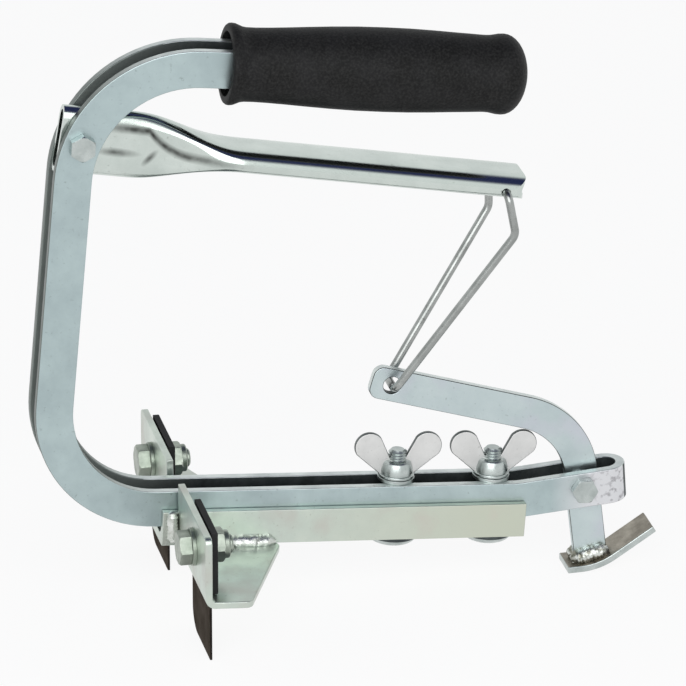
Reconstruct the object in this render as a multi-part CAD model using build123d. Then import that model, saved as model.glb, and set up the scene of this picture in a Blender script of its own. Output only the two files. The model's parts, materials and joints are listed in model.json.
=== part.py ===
from build123d import *
from math import atan2, cos, degrees, radians, sin, tan
import os

# Paving stone gripper, in millimetres. +Z is up, +X runs from the jaws to the shoe, and the bolt
# heads of the two pivots face -Y. Every place is worked out from the crank pivot. At the end the
# pieces are tilted together until the gripper stands level on its blades and its shoe, and moved
# so that the origin lies on the ground under its middle.

# Fits
RUNNING_FIT = 0.075  # radial, a pivot bolt in the piece that turns on it
SLIDE_FIT = 0.3  # between faces that pass each other
SEAT_FIT = 0.1  # between a fastener and its hole or thread

# Frame: one flat bar, folded double at the nose, with a slot between its two legs
BAR_WIDTH = 16.0
BAR_THICKNESS = 4.0
SLOT_WIDTH = 10.0
LEG_DROP = 5.0  # centre line of the lower run, below the crank pivot
NOSE_RISE = 8.0  # degrees
NOSE_BEND_REACH = 28.4  # from the crank pivot back to the bend
NOSE_LENGTH = 40.5  # from the bend to the centre of the fold
NOSE_BEND_RADIUS = 30.0
FRAME_REACH = 234.2  # from the crank pivot to the lower left corner
FRAME_HEIGHT = 199.2  # from the lower run to the upper run, at the left
LEFT_LEAN = 1.3  # degrees
TOP_DROOP = 2.6  # degrees
LOWER_CORNER_RADIUS = 46.0
UPPER_CORNER_RADIUS = 50.0

# Hand grip: a rubber sleeve on the upper run, closed at its right end
GRIP_START = 62.0  # along the upper run, from the upper left corner to the open lip
GRIP_LENGTH = 128.5
GRIP_END_WALL = 16.0
GRIP_LIP_RADIUS = 17.1
GRIP_NECK_RADIUS = 15.8
GRIP_NECK_PLACE = 12.0
GRIP_BELLY_RADIUS = 17.6
GRIP_BELLY_PLACE = 68.0
GRIP_WAIST_RADIUS = 16.5
GRIP_WAIST_PLACE = 105.0
GRIP_BEAD_RADIUS = 17.0
GRIP_BEAD_LENGTH = 5.0
GRIP_DOME_RADIUS = 12.0  # round the closed end

# Squeeze lever: a round tube, pressed upright at its pivot and flat under the hand
LEVER_PIVOT_ANGLE = 19.7  # degrees above level, on the upper corner's arc
LEVER_SLOPE = 6.1  # degrees
LEVER_TAIL = 8.5  # from the pivot to the left end
LEVER_LENGTH = 191.1  # from the pivot to the right end
LEVER_WALL = 2.0
LEVER_SIDE_PLAY = 0.25  # between the pressed end and each leg of the frame
UPRIGHT_HEIGHT = 29.0
UPRIGHT_LENGTH = 23.5  # from the pivot to where the tube starts to turn flat
TURN_LENGTH = 44.0
TURN_STEPS = 6
FLAT_WIDTH = 27.0
FLAT_HEIGHT = 9.6
LEVER_ROUNDING = 0.94  # corner radius as a share of half the thinner side
LEVER_END_CORNER = 6.0
LEVER_LINK_SETBACK = 8.8  # from the right end to the link holes
LEVER_LINK_DROP = 1.5  # link holes below the tube's centre line

# Wire link between the lever and the crank
WIRE_DIAMETER = 3.5
WIRE_HOOK_RADIUS = 3.4
WIRE_HOOK_END = 2.0  # past the inside of the lever's wall
WIRE_KINK_DROP = 17.3
WIRE_NEAR_SHIFT = 4.6  # near kink, right of the lever's link holes
WIRE_FAR_SHIFT = 1.4
WIRE_KINK_RADIUS = 6.0
WIRE_FOOT_RADIUS = 4.0
WIRE_FOOT_HALF = 7.0  # from the middle to the corner beside the crank

# Crank: a flat bar bent at its knee, with the link hole in its upper arm
CRANK_WIDTH = 14.5
CRANK_THICKNESS = 4.0
CRANK_HOLE_REACH = 86.5
CRANK_HOLE_HEIGHT = 46.8
CRANK_HOLE_DIAMETER = 7.6
CRANK_TIP = 9.2  # past the link hole
CRANK_TIP_CORNER = 4.5
CRANK_ARM_SLOPE = 13.0  # degrees
CRANK_KNEE_RADIUS = 35.0
CRANK_LEG_LEAN = 11.0  # degrees
CRANK_PIVOT_OFFSET = 1.5  # centre line of the lower arm, right of the pivot
SPACER_DIAMETER = 11.0

# Shoe: a bent plate welded under the crank
SHOE_DROP = 37.8
SHOE_SHIFT = 2.0  # knee of the shoe, right of the crank's centre line
SHOE_WIDTH = 16.0
SHOE_THICKNESS = 3.0
SHOE_FRONT = 14.0
SHOE_FRONT_RISE = 5.0  # degrees
SHOE_TAIL = 29.0
SHOE_TAIL_RISE = 37.0  # degrees
SHOE_BEND_RADIUS = 28.0
SHOE_WELD = 3.2
SHOE_WELD_NECK = 0.2  # left of the bead at its top

# Jaw channel: slides along the lower run, with a leg of the frame inside each flange
CHANNEL_LENGTH = 159.0
CHANNEL_HEIGHT = 15.3
CHANNEL_FLANGE = 3.2
CHANNEL_WEB = 4.0
CHANNEL_ROOT_RADIUS = 3.5
CHANNEL_GAP = 3.3  # between the web and the legs
CHANNEL_NOSE = 13.7  # right of the right clamp bolt

# Clamp bolts, their washers and wing nuts
CLAMP_DIAMETER = 8.0
CLAMP_PITCH = 42.0
CLAMP_SETBACK = 0.8  # from the right washer to the bend of the nose
CLAMP_LENGTH = 37.0
CLAMP_HEAD_DIAMETER = 20.0
CLAMP_HEAD_HEIGHT = 4.6
CLAMP_WASHER_DIAMETER = 16.0
CLAMP_WASHER_THICKNESS = 1.6
WING_HUB_DIAMETER = 15.4
WING_HUB_TOP_DIAMETER = 11.2
WING_HUB_HEIGHT = 9.5
WING_RIM_HEIGHT = 1.5
WING_REACH = 12.7  # from the bolt to the middle of a wing
WING_RISE = 13.4
WING_RADIUS = 6.4
WING_ROOT_RADIUS = 4.2
WING_THICKNESS = 2.2
NUT_PLAY = 0.05  # under a wing nut

# Jaw brackets: bent plates welded to both sides of the channel
PLATE_THICKNESS = 3.0
PLATE_BEND_RADIUS = 1.5  # inside
JAW_LEAN = 4.0  # degrees, the ear's foot to the right
JAW_SPAN = 143.0  # across the outer sides of both ears
EAR_SETBACK = 7.4  # from the channel's left end, at the underside
EAR_HEIGHT = 28.8  # along the ear, from the underside of the channel
EAR_CORNER = 3.0
BASE_ROOT_LENGTH = 42.5
BASE_TIP_LENGTH = 16.8
BASE_TUCK = 2.2  # under the channel
BASE_CORNER = 4.0
EAR_WELD = 4.0
BASE_WELD = 3.2
BASE_WELD_LENGTH = 23.0

# Jaw pads and blades
JAW_CENTRE = 46.0  # from the middle plane to the jaw bolt
PAD_WIDTH = 36.0
PAD_THICKNESS = 2.9
PAD_TOP_DROP = 0.8  # below the top of the ear
PAD_EDGE = 0.6
BLADE_WIDTH = 37.0
BLADE_THICKNESS = 1.0
BLADE_REACH = 26.7  # below the base plate
BLADE_TOP_DROP = 3.0  # below the top of the ear
BLADE_CORNER = 10.0  # of the lower corner away from -Y
JAW_BOLT_HEIGHT = 14.6  # along the ear, from the underside of the channel
JAW_WASHER_DIAMETER = 16.0
JAW_WASHER_THICKNESS = 1.6

# Hexagon fasteners: across flats, head height, nut height, thread past the nut
PIVOT_DIAMETER = 6.0
PIVOT_FLATS = 10.0
PIVOT_HEAD = 4.0
PIVOT_NUT = 6.0
JAW_BOLT_DIAMETER = 8.0
JAW_BOLT_FLATS = 13.0
JAW_BOLT_HEAD = 5.3
JAW_NUT = 8.0
THREAD_END = 1.5
NUT_COLLAR_SHARE = 0.3  # of a lock nut's height
NUT_COLLAR_WIDTH = 0.92  # of the width across flats
HEX_CORNER_CUT = 0.06  # of the width across flats
THREAD_POINT = 0.09  # chamfer at a bolt's end, of its diameter


def beside(points, radii, distance):
    """Path beside a path of straight runs and arcs, on its left for a positive distance."""
    corners = [Vector(*point) for point in points]
    runs = [(b - a).normalized() for a, b in zip(corners, corners[1:])]
    lefts = [Vector(-run.Y, run.X) for run in runs]
    path = [corners[0] + lefts[0] * distance]
    path_radii = []
    for index, radius in enumerate(radii):
        turn = runs[index].cross(runs[index + 1]).Z
        middle = lefts[index] + lefts[index + 1]
        path.append(corners[index + 1] + middle * (2 * distance / middle.length**2))
        path_radii.append(radius - distance if turn > 0 else radius + distance)
    path.append(corners[-1] + lefts[-1] * distance)
    return FilletPolyline(*path, radius=path_radii)


def strip(points, radii, low, high):
    """Flat face between two paths that run beside a path."""
    right = beside(points, radii, low)
    left = beside(points, radii, high)
    return make_face([right, Line(right @ 1, left @ 1), left, Line(left @ 0, right @ 0)])


def corner_centre(before, corner, after, radius):
    """Centre of the arc that rounds a corner of a path."""
    here = Vector(*corner)
    back = (Vector(*before) - here).normalized()
    onward = (Vector(*after) - here).normalized()
    middle = (back + onward).normalized()
    return here + middle * (radius / middle.cross(back).length)


def plate(face, low, high):
    """Upright plate of an outline drawn in X and Z, from one Y to another."""
    return extrude(Plane.XZ.offset(-high) * face, amount=high - low)


def cross_pin(x, z, radius, length):
    """Round bar along Y, centred on the middle plane."""
    return Pos(x, 0, z) * Rot(90, 0, 0) * Cylinder(radius, length)


def hexagon(flats, height):
    """Hexagonal prism on the XY plane with its top corners turned off."""
    prism = extrude(RegularPolygon(flats / 2, 6, major_radius=False), amount=height)
    blank = Pos(0, 0, height / 2) * Cylinder(flats / 2 / cos(radians(30)), height)
    cut = HEX_CORNER_CUT * flats
    return prism & chamfer(blank.edges().sort_by(Axis.Z)[-1], cut)


def bolt_shank(diameter, length):
    """Round shank from the XY plane along +Z, with a chamfered end."""
    shank = Pos(0, 0, length / 2) * Cylinder(diameter / 2, length)
    return chamfer(shank.edges().sort_by(Axis.Z)[-1], THREAD_POINT * diameter)


def hex_bolt(diameter, flats, head, length):
    """Hexagon bolt whose head rests on the XY plane, with its shank along +Z."""
    return Rot(180, 0, 0) * hexagon(flats, head) + bolt_shank(diameter, length)


def lock_nut(diameter, flats, height):
    """Lock nut on the XY plane: a hexagon with a round collar on top."""
    collar_height = NUT_COLLAR_SHARE * height
    collar = Pos(0, 0, height - collar_height / 2) * Cylinder(NUT_COLLAR_WIDTH * flats / 2, collar_height)
    collar = fillet(collar.edges().sort_by(Axis.Z)[-1], collar_height / 3)
    bore = Pos(0, 0, height / 2) * Cylinder(diameter / 2 + SEAT_FIT, height)
    return hexagon(flats, height - collar_height) + collar - bore


def washer(diameter, bore, thickness):
    """Flat ring on the XY plane."""
    return extrude(Circle(diameter / 2) - Circle(bore / 2 + SEAT_FIT), amount=thickness)


# Places on the frame, as X and Z from the crank pivot
leg_half = SLOT_WIDTH / 2 + BAR_THICKNESS
nose_along = Vector(cos(radians(NOSE_RISE)), sin(radians(NOSE_RISE)))
nose_bend = Vector(-NOSE_BEND_REACH, -LEG_DROP)
nose_end = nose_bend + nose_along * NOSE_LENGTH
low_left = Vector(-FRAME_REACH, -LEG_DROP)
top_left = low_left + Vector(FRAME_HEIGHT * tan(radians(LEFT_LEAN)), FRAME_HEIGHT)
top_along = Vector(cos(radians(TOP_DROOP)), -sin(radians(TOP_DROOP)))
bar_end = top_left + top_along * (GRIP_START + GRIP_LENGTH - GRIP_END_WALL)
frame_line = [nose_end, nose_bend, low_left, top_left, bar_end]
frame_radii = [NOSE_BEND_RADIUS, LOWER_CORNER_RADIUS, UPPER_CORNER_RADIUS]
upper_centre = corner_centre(low_left, top_left, bar_end, UPPER_CORNER_RADIUS)
pivot_angle = radians(180 - LEVER_PIVOT_ANGLE)
lever_pivot = upper_centre + Vector(cos(pivot_angle), sin(pivot_angle)) * UPPER_CORNER_RADIUS
leg_top = BAR_WIDTH / 2 - LEG_DROP
leg_bottom = leg_top - BAR_WIDTH


def make_frame():
    """The folded bar: two legs and the half ring that joins them at the nose."""
    outline = strip(frame_line, frame_radii, -BAR_WIDTH / 2, BAR_WIDTH / 2)
    near_leg = plate(outline, -leg_half, -SLOT_WIDTH / 2)
    fold_place = Plane(
        origin=(nose_end.X, 0, nose_end.Y),
        x_dir=(nose_along.X, 0, nose_along.Y),
        z_dir=(-nose_along.Y, 0, nose_along.X),
    )
    ring = extrude(Circle(leg_half) - Circle(SLOT_WIDTH / 2), amount=BAR_WIDTH / 2, both=True)
    fold = fold_place * split(ring, bisect_by=Plane.YZ, keep=Keep.TOP)
    hole_radius = PIVOT_DIAMETER / 2 + SEAT_FIT
    crank_hole = cross_pin(0, 0, hole_radius, 4 * leg_half)
    lever_hole = cross_pin(lever_pivot.X, lever_pivot.Y, hole_radius, 4 * leg_half)
    return near_leg + mirror(near_leg, about=Plane.XZ) + fold - crank_hole - lever_hole


def make_grip():
    """The sleeve, turned about the upper run and hollowed for the two legs."""
    dome_start = GRIP_LENGTH - GRIP_DOME_RADIUS
    bead_start = dome_start - GRIP_BEAD_LENGTH
    swell = Spline(
        (0, GRIP_LIP_RADIUS),
        (GRIP_NECK_PLACE, GRIP_NECK_RADIUS),
        (GRIP_BELLY_PLACE, GRIP_BELLY_RADIUS),
        (GRIP_WAIST_PLACE, GRIP_WAIST_RADIUS),
        (bead_start, GRIP_BEAD_RADIUS),
    )
    bead = Line(swell @ 1, (dome_start, GRIP_BEAD_RADIUS))
    dome = CenterArc((dome_start, GRIP_BEAD_RADIUS - GRIP_DOME_RADIUS), GRIP_DOME_RADIUS, 0, 90)
    rest = Polyline(dome @ 0, (GRIP_LENGTH, 0), (0, 0), (0, GRIP_LIP_RADIUS))
    sleeve = revolve(make_face([swell, bead, dome, rest]), Axis.X)
    hollow_length = GRIP_LENGTH - GRIP_END_WALL + SEAT_FIT
    hollow = Pos(hollow_length / 2, 0, 0) * Box(
        hollow_length, 2 * (leg_half + SEAT_FIT), BAR_WIDTH + 2 * SEAT_FIT
    )
    lip_point = top_left + top_along * GRIP_START
    place = Plane(
        origin=(lip_point.X, 0, lip_point.Y),
        x_dir=(top_along.X, 0, top_along.Y),
        z_dir=(-top_along.Y, 0, top_along.X),
    )
    return place * (sleeve - hollow)


lever_place = Plane(
    origin=(lever_pivot.X, 0, lever_pivot.Y),
    x_dir=(cos(radians(LEVER_SLOPE)), 0, -sin(radians(LEVER_SLOPE))),
    z_dir=(sin(radians(LEVER_SLOPE)), 0, cos(radians(LEVER_SLOPE))),
)
link_along = LEVER_LENGTH - LEVER_LINK_SETBACK
lever_link = lever_place.from_local_coords(Vector(link_along, 0, -LEVER_LINK_DROP))


def lever_section(along, inset):
    """Outline of the lever's tube at a place along it, drawn in by an inset."""
    share = min(max((along - UPRIGHT_LENGTH) / TURN_LENGTH, 0), 1)
    share = share * share * (3 - 2 * share)
    upright_width = SLOT_WIDTH - 2 * LEVER_SIDE_PLAY
    width = upright_width + (FLAT_WIDTH - upright_width) * share
    height = UPRIGHT_HEIGHT + (FLAT_HEIGHT - UPRIGHT_HEIGHT) * share
    radius = LEVER_ROUNDING * min(width, height) / 2
    outline = RectangleRounded(width - 2 * inset, height - 2 * inset, radius - inset)
    return Plane(origin=(along, 0, 0), x_dir=(0, 1, 0), z_dir=(1, 0, 0)) * outline


def lever_form(inset, overrun):
    """The lever's tube as a solid, drawn in by an inset and longer by an overrun at both ends."""
    flat_start = UPRIGHT_LENGTH + TURN_LENGTH
    left_end = -LEVER_TAIL - overrun
    upright = extrude(lever_section(left_end, inset), amount=UPRIGHT_LENGTH - left_end)
    turn_places = [UPRIGHT_LENGTH + TURN_LENGTH * step / TURN_STEPS for step in range(TURN_STEPS + 1)]
    turn = loft([lever_section(along, inset) for along in turn_places])
    flat_length = LEVER_LENGTH + overrun - flat_start
    flat = extrude(lever_section(flat_start, inset), amount=flat_length)
    return upright + turn + flat


def make_lever():
    """The pressed tube, its right end rounded seen from above, with its pivot and link holes."""
    total = LEVER_TAIL + LEVER_LENGTH
    plan = Pos(LEVER_LENGTH - total / 2, 0) * Rectangle(total, FLAT_WIDTH)
    plan = fillet(plan.vertices().group_by(Axis.X)[-1], LEVER_END_CORNER)
    limits = extrude(plan, amount=UPRIGHT_HEIGHT, both=True)
    tube = (lever_form(0, 0) & limits) - lever_form(LEVER_WALL, LEVER_WALL)
    pivot_hole = cross_pin(0, 0, PIVOT_DIAMETER / 2 + RUNNING_FIT, 2 * FLAT_WIDTH)
    link_radius = WIRE_DIAMETER / 2 + SLIDE_FIT
    link_holes = cross_pin(link_along, -LEVER_LINK_DROP, link_radius, 2 * FLAT_WIDTH)
    return lever_place * (tube - pivot_hole - link_holes)


def make_link():
    """The bent wire: hooked into both sides of the lever, and through the crank below."""
    leg_out = FLAT_WIDTH / 2 + SLIDE_FIT + WIRE_HOOK_RADIUS
    hook_in = FLAT_WIDTH / 2 - LEVER_WALL - WIRE_HOOK_END
    halves = []
    for side, shift in ((-1, WIRE_NEAR_SHIFT), (1, WIRE_FAR_SHIFT)):
        hook = (lever_link.X, side * hook_in, lever_link.Z)
        shoulder = (lever_link.X, side * leg_out, lever_link.Z)
        kink = (lever_link.X + shift, side * leg_out, lever_link.Z - WIRE_KINK_DROP)
        foot = (-CRANK_HOLE_REACH, side * WIRE_FOOT_HALF, CRANK_HOLE_HEIGHT)
        halves.append([hook, shoulder, kink, foot])
    near_half, far_half = halves
    half_radii = [WIRE_HOOK_RADIUS, WIRE_KINK_RADIUS, WIRE_FOOT_RADIUS]
    path = FilletPolyline(*near_half, *reversed(far_half), radius=half_radii + half_radii[::-1])
    return sweep(Plane(path @ 0, z_dir=path % 0) * Circle(WIRE_DIAMETER / 2), path=path)


# Places on the crank and the shoe
arm_fall = tan(radians(CRANK_ARM_SLOPE))
leg_lean = tan(radians(CRANK_LEG_LEAN))
arm_drop = (CRANK_PIVOT_OFFSET + CRANK_HOLE_REACH) * arm_fall
knee_z = (CRANK_HOLE_HEIGHT - arm_drop) / (1 - leg_lean * arm_fall)
crank_knee = Vector(CRANK_PIVOT_OFFSET - knee_z * leg_lean, knee_z)
arm_along = Vector(-cos(radians(CRANK_ARM_SLOPE)), sin(radians(CRANK_ARM_SLOPE)))
crank_tip = Vector(-CRANK_HOLE_REACH, CRANK_HOLE_HEIGHT) + arm_along * CRANK_TIP
crank_heel = Vector(CRANK_PIVOT_OFFSET + SHOE_DROP * leg_lean, -SHOE_DROP)
shoe_knee = crank_heel + Vector(SHOE_SHIFT, 0)
front_along = Vector(cos(radians(SHOE_FRONT_RISE)), sin(radians(SHOE_FRONT_RISE)))
tail_along = Vector(cos(radians(SHOE_TAIL_RISE)), sin(radians(SHOE_TAIL_RISE)))
shoe_line = [shoe_knee - front_along * SHOE_FRONT, shoe_knee, shoe_knee + tail_along * SHOE_TAIL]


def make_crank():
    """The bent bar, cut off where it stands on the shoe."""
    leg_end = crank_heel + (crank_heel - crank_knee).normalized() * CRANK_WIDTH
    crank_line = [crank_tip, crank_knee, leg_end]
    outline = strip(crank_line, [CRANK_KNEE_RADIUS], -CRANK_WIDTH / 2, CRANK_WIDTH / 2)
    outline = fillet(outline.vertices().group_by(Axis.X)[:2], CRANK_TIP_CORNER)
    below = strip(shoe_line, [SHOE_BEND_RADIUS], -2 * CRANK_WIDTH, SHOE_THICKNESS / 2)
    bar = plate(outline - below, -CRANK_THICKNESS / 2, CRANK_THICKNESS / 2)
    link_hole = cross_pin(-CRANK_HOLE_REACH, CRANK_HOLE_HEIGHT, CRANK_HOLE_DIAMETER / 2, CRANK_WIDTH)
    pivot_hole = cross_pin(0, 0, PIVOT_DIAMETER / 2 + RUNNING_FIT, CRANK_WIDTH)
    return bar - link_hole - pivot_hole


def make_shoe():
    """The bent plate that presses on the stone."""
    outline = strip(shoe_line, [SHOE_BEND_RADIUS], -SHOE_THICKNESS / 2, SHOE_THICKNESS / 2)
    return plate(outline, -SHOE_WIDTH / 2, SHOE_WIDTH / 2)


def make_shoe_weld(crank):
    """The bead round the foot of the crank, on top of the shoe."""
    down = (crank_heel - crank_knee).normalized()
    place = Plane(
        origin=(crank_heel.X, 0, crank_heel.Y), x_dir=(-down.Y, 0, down.X), z_dir=(-down.X, 0, -down.Y)
    )
    foot = Rectangle(CRANK_WIDTH + 2 * SHOE_WELD, CRANK_THICKNESS + 2 * SHOE_WELD)
    neck = Rectangle(CRANK_WIDTH + 2 * SHOE_WELD_NECK, CRANK_THICKNESS + 2 * SHOE_WELD_NECK)
    half_plate = Pos(0, 0, SHOE_THICKNESS / 2)
    bead = place * loft([half_plate.inverse() * foot, half_plate * Pos(0, 0, SHOE_WELD) * neck])
    below = strip(shoe_line, [SHOE_BEND_RADIUS], -2 * CRANK_WIDTH, SHOE_THICKNESS / 2)
    return bead - plate(below, -SHOE_WIDTH, SHOE_WIDTH) - crank


# Places on the jaw slide
bend_start = nose_bend.X - NOSE_BEND_RADIUS * tan(radians(NOSE_RISE / 2))
clamp_right = bend_start - CLAMP_WASHER_DIAMETER / 2 - CLAMP_SETBACK
clamp_left = clamp_right - CLAMP_PITCH
channel_right = clamp_right + CHANNEL_NOSE
channel_left = channel_right - CHANNEL_LENGTH
web_top = leg_bottom - CHANNEL_GAP
channel_bottom = web_top - CHANNEL_WEB
channel_inner = leg_half + SLIDE_FIT
channel_outer = channel_inner + CHANNEL_FLANGE
ear_left = channel_left + EAR_SETBACK
ear_right = ear_left + PLATE_THICKNESS
ear_tip = JAW_SPAN / 2
base_bottom = channel_bottom - PLATE_THICKNESS
base_root = ear_right + BASE_ROOT_LENGTH
base_tip = ear_right + BASE_TIP_LENGTH
pad_front = BLADE_THICKNESS + PAD_THICKNESS
blade_foot = -PLATE_THICKNESS - BLADE_REACH
nut_seat = leg_top + CLAMP_WASHER_THICKNESS

# The jaws are drawn in the leaning plane of the ear: x out from its right face, z up along it
jaw_out = Vector(cos(radians(JAW_LEAN)), 0, sin(radians(JAW_LEAN)))
jaw_up = Vector(-jaw_out.Z, 0, jaw_out.X)
jaw_place = Plane(origin=(ear_right, 0, channel_bottom), x_dir=jaw_out, z_dir=jaw_up)


def block(x_range, y_range, z_range):
    """Box between two places on each axis."""
    sizes = [high - low for low, high in (x_range, y_range, z_range)]
    return Pos(x_range[0], y_range[0], z_range[0]) * Box(*sizes, align=Align.MIN)


def on_bolt(out, piece):
    """Piece turned to face out of the jaw, on the axis of the far jaw bolt."""
    return Pos(out, JAW_CENTRE, JAW_BOLT_HEIGHT) * Rot(0, 90, 0) * piece


def jaw_bore():
    """Round bar through the far jaw for its bolt."""
    return on_bolt(0, Cylinder(JAW_BOLT_DIAMETER / 2 + SEAT_FIT, 4 * PAD_WIDTH))


def make_channel():
    """The channel with its square holes for the clamp bolts."""
    outer = Pos(0, channel_bottom + CHANNEL_HEIGHT / 2) * Rectangle(2 * channel_outer, CHANNEL_HEIGHT)
    inner = Pos(0, web_top + CHANNEL_HEIGHT / 2) * Rectangle(2 * channel_inner, CHANNEL_HEIGHT)
    inner = fillet(inner.vertices().group_by(Axis.Y)[0], CHANNEL_ROOT_RADIUS)
    bar = extrude(Plane.YZ.offset(channel_left) * (outer - inner), amount=CHANNEL_LENGTH)
    hole_half = CLAMP_DIAMETER / 2 + SEAT_FIT
    for clamp_x in (clamp_left, clamp_right):
        bar -= Pos(clamp_x, 0, channel_bottom) * Box(2 * hole_half, 2 * hole_half, 4 * CHANNEL_WEB)
    return bar


def make_bracket():
    """The far bracket: an upright ear and a tapering base in one bent plate."""
    half = PLATE_THICKNESS / 2
    fold_height = half * (jaw_out.Z - 1) / jaw_out.X
    ear_top = jaw_place.from_local_coords(Vector(-half, 0, EAR_HEIGHT))
    fold = jaw_place.from_local_coords(Vector(-half, 0, fold_height))
    bend_line = [(ear_top.X, ear_top.Z), (fold.X, fold.Z), (base_root, fold.Z)]
    bent = strip(bend_line, [PLATE_BEND_RADIUS + half], -half, half)
    tuck_edge = channel_outer - BASE_TUCK
    tuck_start = ear_right + PLATE_THICKNESS
    tuck = block((tuck_start, base_root), (tuck_edge, channel_outer), (base_bottom, channel_bottom))
    plan_left = ear_left - EAR_HEIGHT
    right_side = [(base_root, tuck_edge), (base_tip, ear_tip)]
    plan = make_face(Polyline(*right_side, (plan_left, ear_tip), (plan_left, tuck_edge), close=True))
    plan = fillet(plan.vertices().sort_by(Axis.X)[-2:], BASE_CORNER)
    limits = Pos(0, 0, base_bottom) * extrude(plan, amount=2 * EAR_HEIGHT)
    bracket = (plate(bent, channel_outer, ear_tip) + tuck) & limits
    across = bracket.edges().filter_by(Axis((0, 0, 0), jaw_out))
    bracket = fillet(across.sort_by(lambda edge: edge.center().Y + edge.center().Z)[-1], EAR_CORNER)
    slot_half = BLADE_WIDTH / 2 + SLIDE_FIT
    slot = block(
        (0, BLADE_THICKNESS + SLIDE_FIT),
        (JAW_CENTRE - slot_half, JAW_CENTRE + slot_half),
        (-2 * PLATE_THICKNESS, PLATE_THICKNESS),
    )
    return bracket - jaw_place * slot - jaw_place * jaw_bore()


def make_bracket_welds():
    """The far side's two beads: up the back of the ear, and along the base."""
    ear_bead = make_face(Polyline((0, 0), (-EAR_WELD, 0), (0, EAR_WELD), close=True))
    ear_bead = extrude(ear_bead, amount=CHANNEL_HEIGHT - PLATE_BEND_RADIUS)
    ear_bead = jaw_place * Pos(-PLATE_THICKNESS, channel_outer, PLATE_BEND_RADIUS) * ear_bead
    base_bead = make_face(Polyline((0, 0), (BASE_WELD, 0), (0, -BASE_WELD), close=True))
    base_start = (base_root - BASE_CORNER, channel_outer, channel_bottom)
    base_place = Plane(origin=base_start, x_dir=(0, 1, 0), z_dir=(-1, 0, 0))
    return ear_bead + extrude(base_place * base_bead, amount=BASE_WELD_LENGTH)


def make_pad():
    """The far rubber pad."""
    pad = block(
        (BLADE_THICKNESS, pad_front),
        (JAW_CENTRE - PAD_WIDTH / 2, JAW_CENTRE + PAD_WIDTH / 2),
        (SLIDE_FIT, EAR_HEIGHT - PAD_TOP_DROP),
    )
    pad = fillet(pad.faces().sort_by(Axis.X)[-1].edges(), PAD_EDGE)
    return jaw_place * (pad - jaw_bore())


def make_blade():
    """The far blade, clamped behind the pad and let down through the base, its point towards -Y."""
    blade = block(
        (0, BLADE_THICKNESS),
        (JAW_CENTRE - BLADE_WIDTH / 2, JAW_CENTRE + BLADE_WIDTH / 2),
        (blade_foot, EAR_HEIGHT - BLADE_TOP_DROP),
    )
    across = blade.edges().filter_by(Axis.X)
    lower_corner = across.sort_by(lambda edge: edge.center().Y - edge.center().Z)[-1]
    return jaw_place * (fillet(lower_corner, BLADE_CORNER) - jaw_bore())


def make_jaw_fasteners():
    """The far jaw's bolt with its washer behind the ear, and its nut in front of the pad."""
    seat = -PLATE_THICKNESS - JAW_WASHER_THICKNESS
    length = pad_front - seat + JAW_NUT + THREAD_END
    ring = washer(JAW_WASHER_DIAMETER, JAW_BOLT_DIAMETER, JAW_WASHER_THICKNESS)
    bolt = hex_bolt(JAW_BOLT_DIAMETER, JAW_BOLT_FLATS, JAW_BOLT_HEAD, length)
    nut = lock_nut(JAW_BOLT_DIAMETER, JAW_BOLT_FLATS, JAW_NUT)
    places = {"jaw_washer": (seat, ring), "jaw_bolt": (seat, bolt), "jaw_nut": (pad_front, nut)}
    return {name: jaw_place * on_bolt(out, piece) for name, (out, piece) in places.items()}


def make_clamp_bolt(x):
    """Round-headed bolt with a square neck, from under the channel."""
    rim = CLAMP_HEAD_DIAMETER / 2
    crown = rim - CLAMP_HEAD_HEIGHT
    dome = CenterArc((crown, 0), CLAMP_HEAD_HEIGHT, 270, 90)
    rest = Polyline(dome @ 1, (0, 0), (0, -CLAMP_HEAD_HEIGHT), dome @ 0)
    head = revolve(Plane.XZ * make_face([dome, rest]), Axis.Z)
    neck = Pos(0, 0, CHANNEL_WEB / 2) * Box(CLAMP_DIAMETER, CLAMP_DIAMETER, CHANNEL_WEB)
    return Pos(x, 0, channel_bottom) * (head + neck + bolt_shank(CLAMP_DIAMETER, CLAMP_LENGTH))


def make_wing_nut(x):
    """Wing nut: a flared hub with two rounded wings."""
    base = WING_HUB_DIAMETER / 2
    top = WING_HUB_TOP_DIAMETER / 2
    rim = [(0, 0), (base, 0), (base, WING_RIM_HEIGHT)]
    profile = Polyline(*rim, (top, WING_HUB_HEIGHT), (0, WING_HUB_HEIGHT), close=True)
    hub = revolve(Plane.XZ * make_face(profile), Axis.Z)
    root = Pos(top, WING_HUB_HEIGHT / 2) * Circle(WING_ROOT_RADIUS)
    lobe = Pos(WING_REACH, WING_RISE) * Circle(WING_RADIUS)
    wing = plate(make_hull([*root.edges(), *lobe.edges()]), -WING_THICKNESS / 2, WING_THICKNESS / 2)
    bore = Cylinder(CLAMP_DIAMETER / 2 + RUNNING_FIT, 4 * WING_HUB_HEIGHT)
    nut = hub + wing + mirror(wing, about=Plane.YZ) - bore
    return Pos(x, 0, nut_seat + NUT_PLAY) * nut


def pivot_fasteners(x, z):
    """Bolt from the near side and lock nut on the far side of a pivot."""
    near = Pos(x, -leg_half, z) * Rot(-90, 0, 0)
    far = Pos(x, leg_half, z) * Rot(-90, 0, 0)
    length = 2 * leg_half + PIVOT_NUT + THREAD_END
    bolt = near * hex_bolt(PIVOT_DIAMETER, PIVOT_FLATS, PIVOT_HEAD, length)
    return bolt, far * lock_nut(PIVOT_DIAMETER, PIVOT_FLATS, PIVOT_NUT)


def make_spacers():
    """The two rings that keep the crank in the middle of the slot."""
    thickness = (SLOT_WIDTH - CRANK_THICKNESS) / 2 - SEAT_FIT
    ring = washer(SPACER_DIAMETER, PIVOT_DIAMETER, thickness)
    ring = Pos(0, SLOT_WIDTH / 2 - thickness, 0) * Rot(-90, 0, 0) * ring
    return ring + mirror(ring, about=Plane.XZ)


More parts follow.
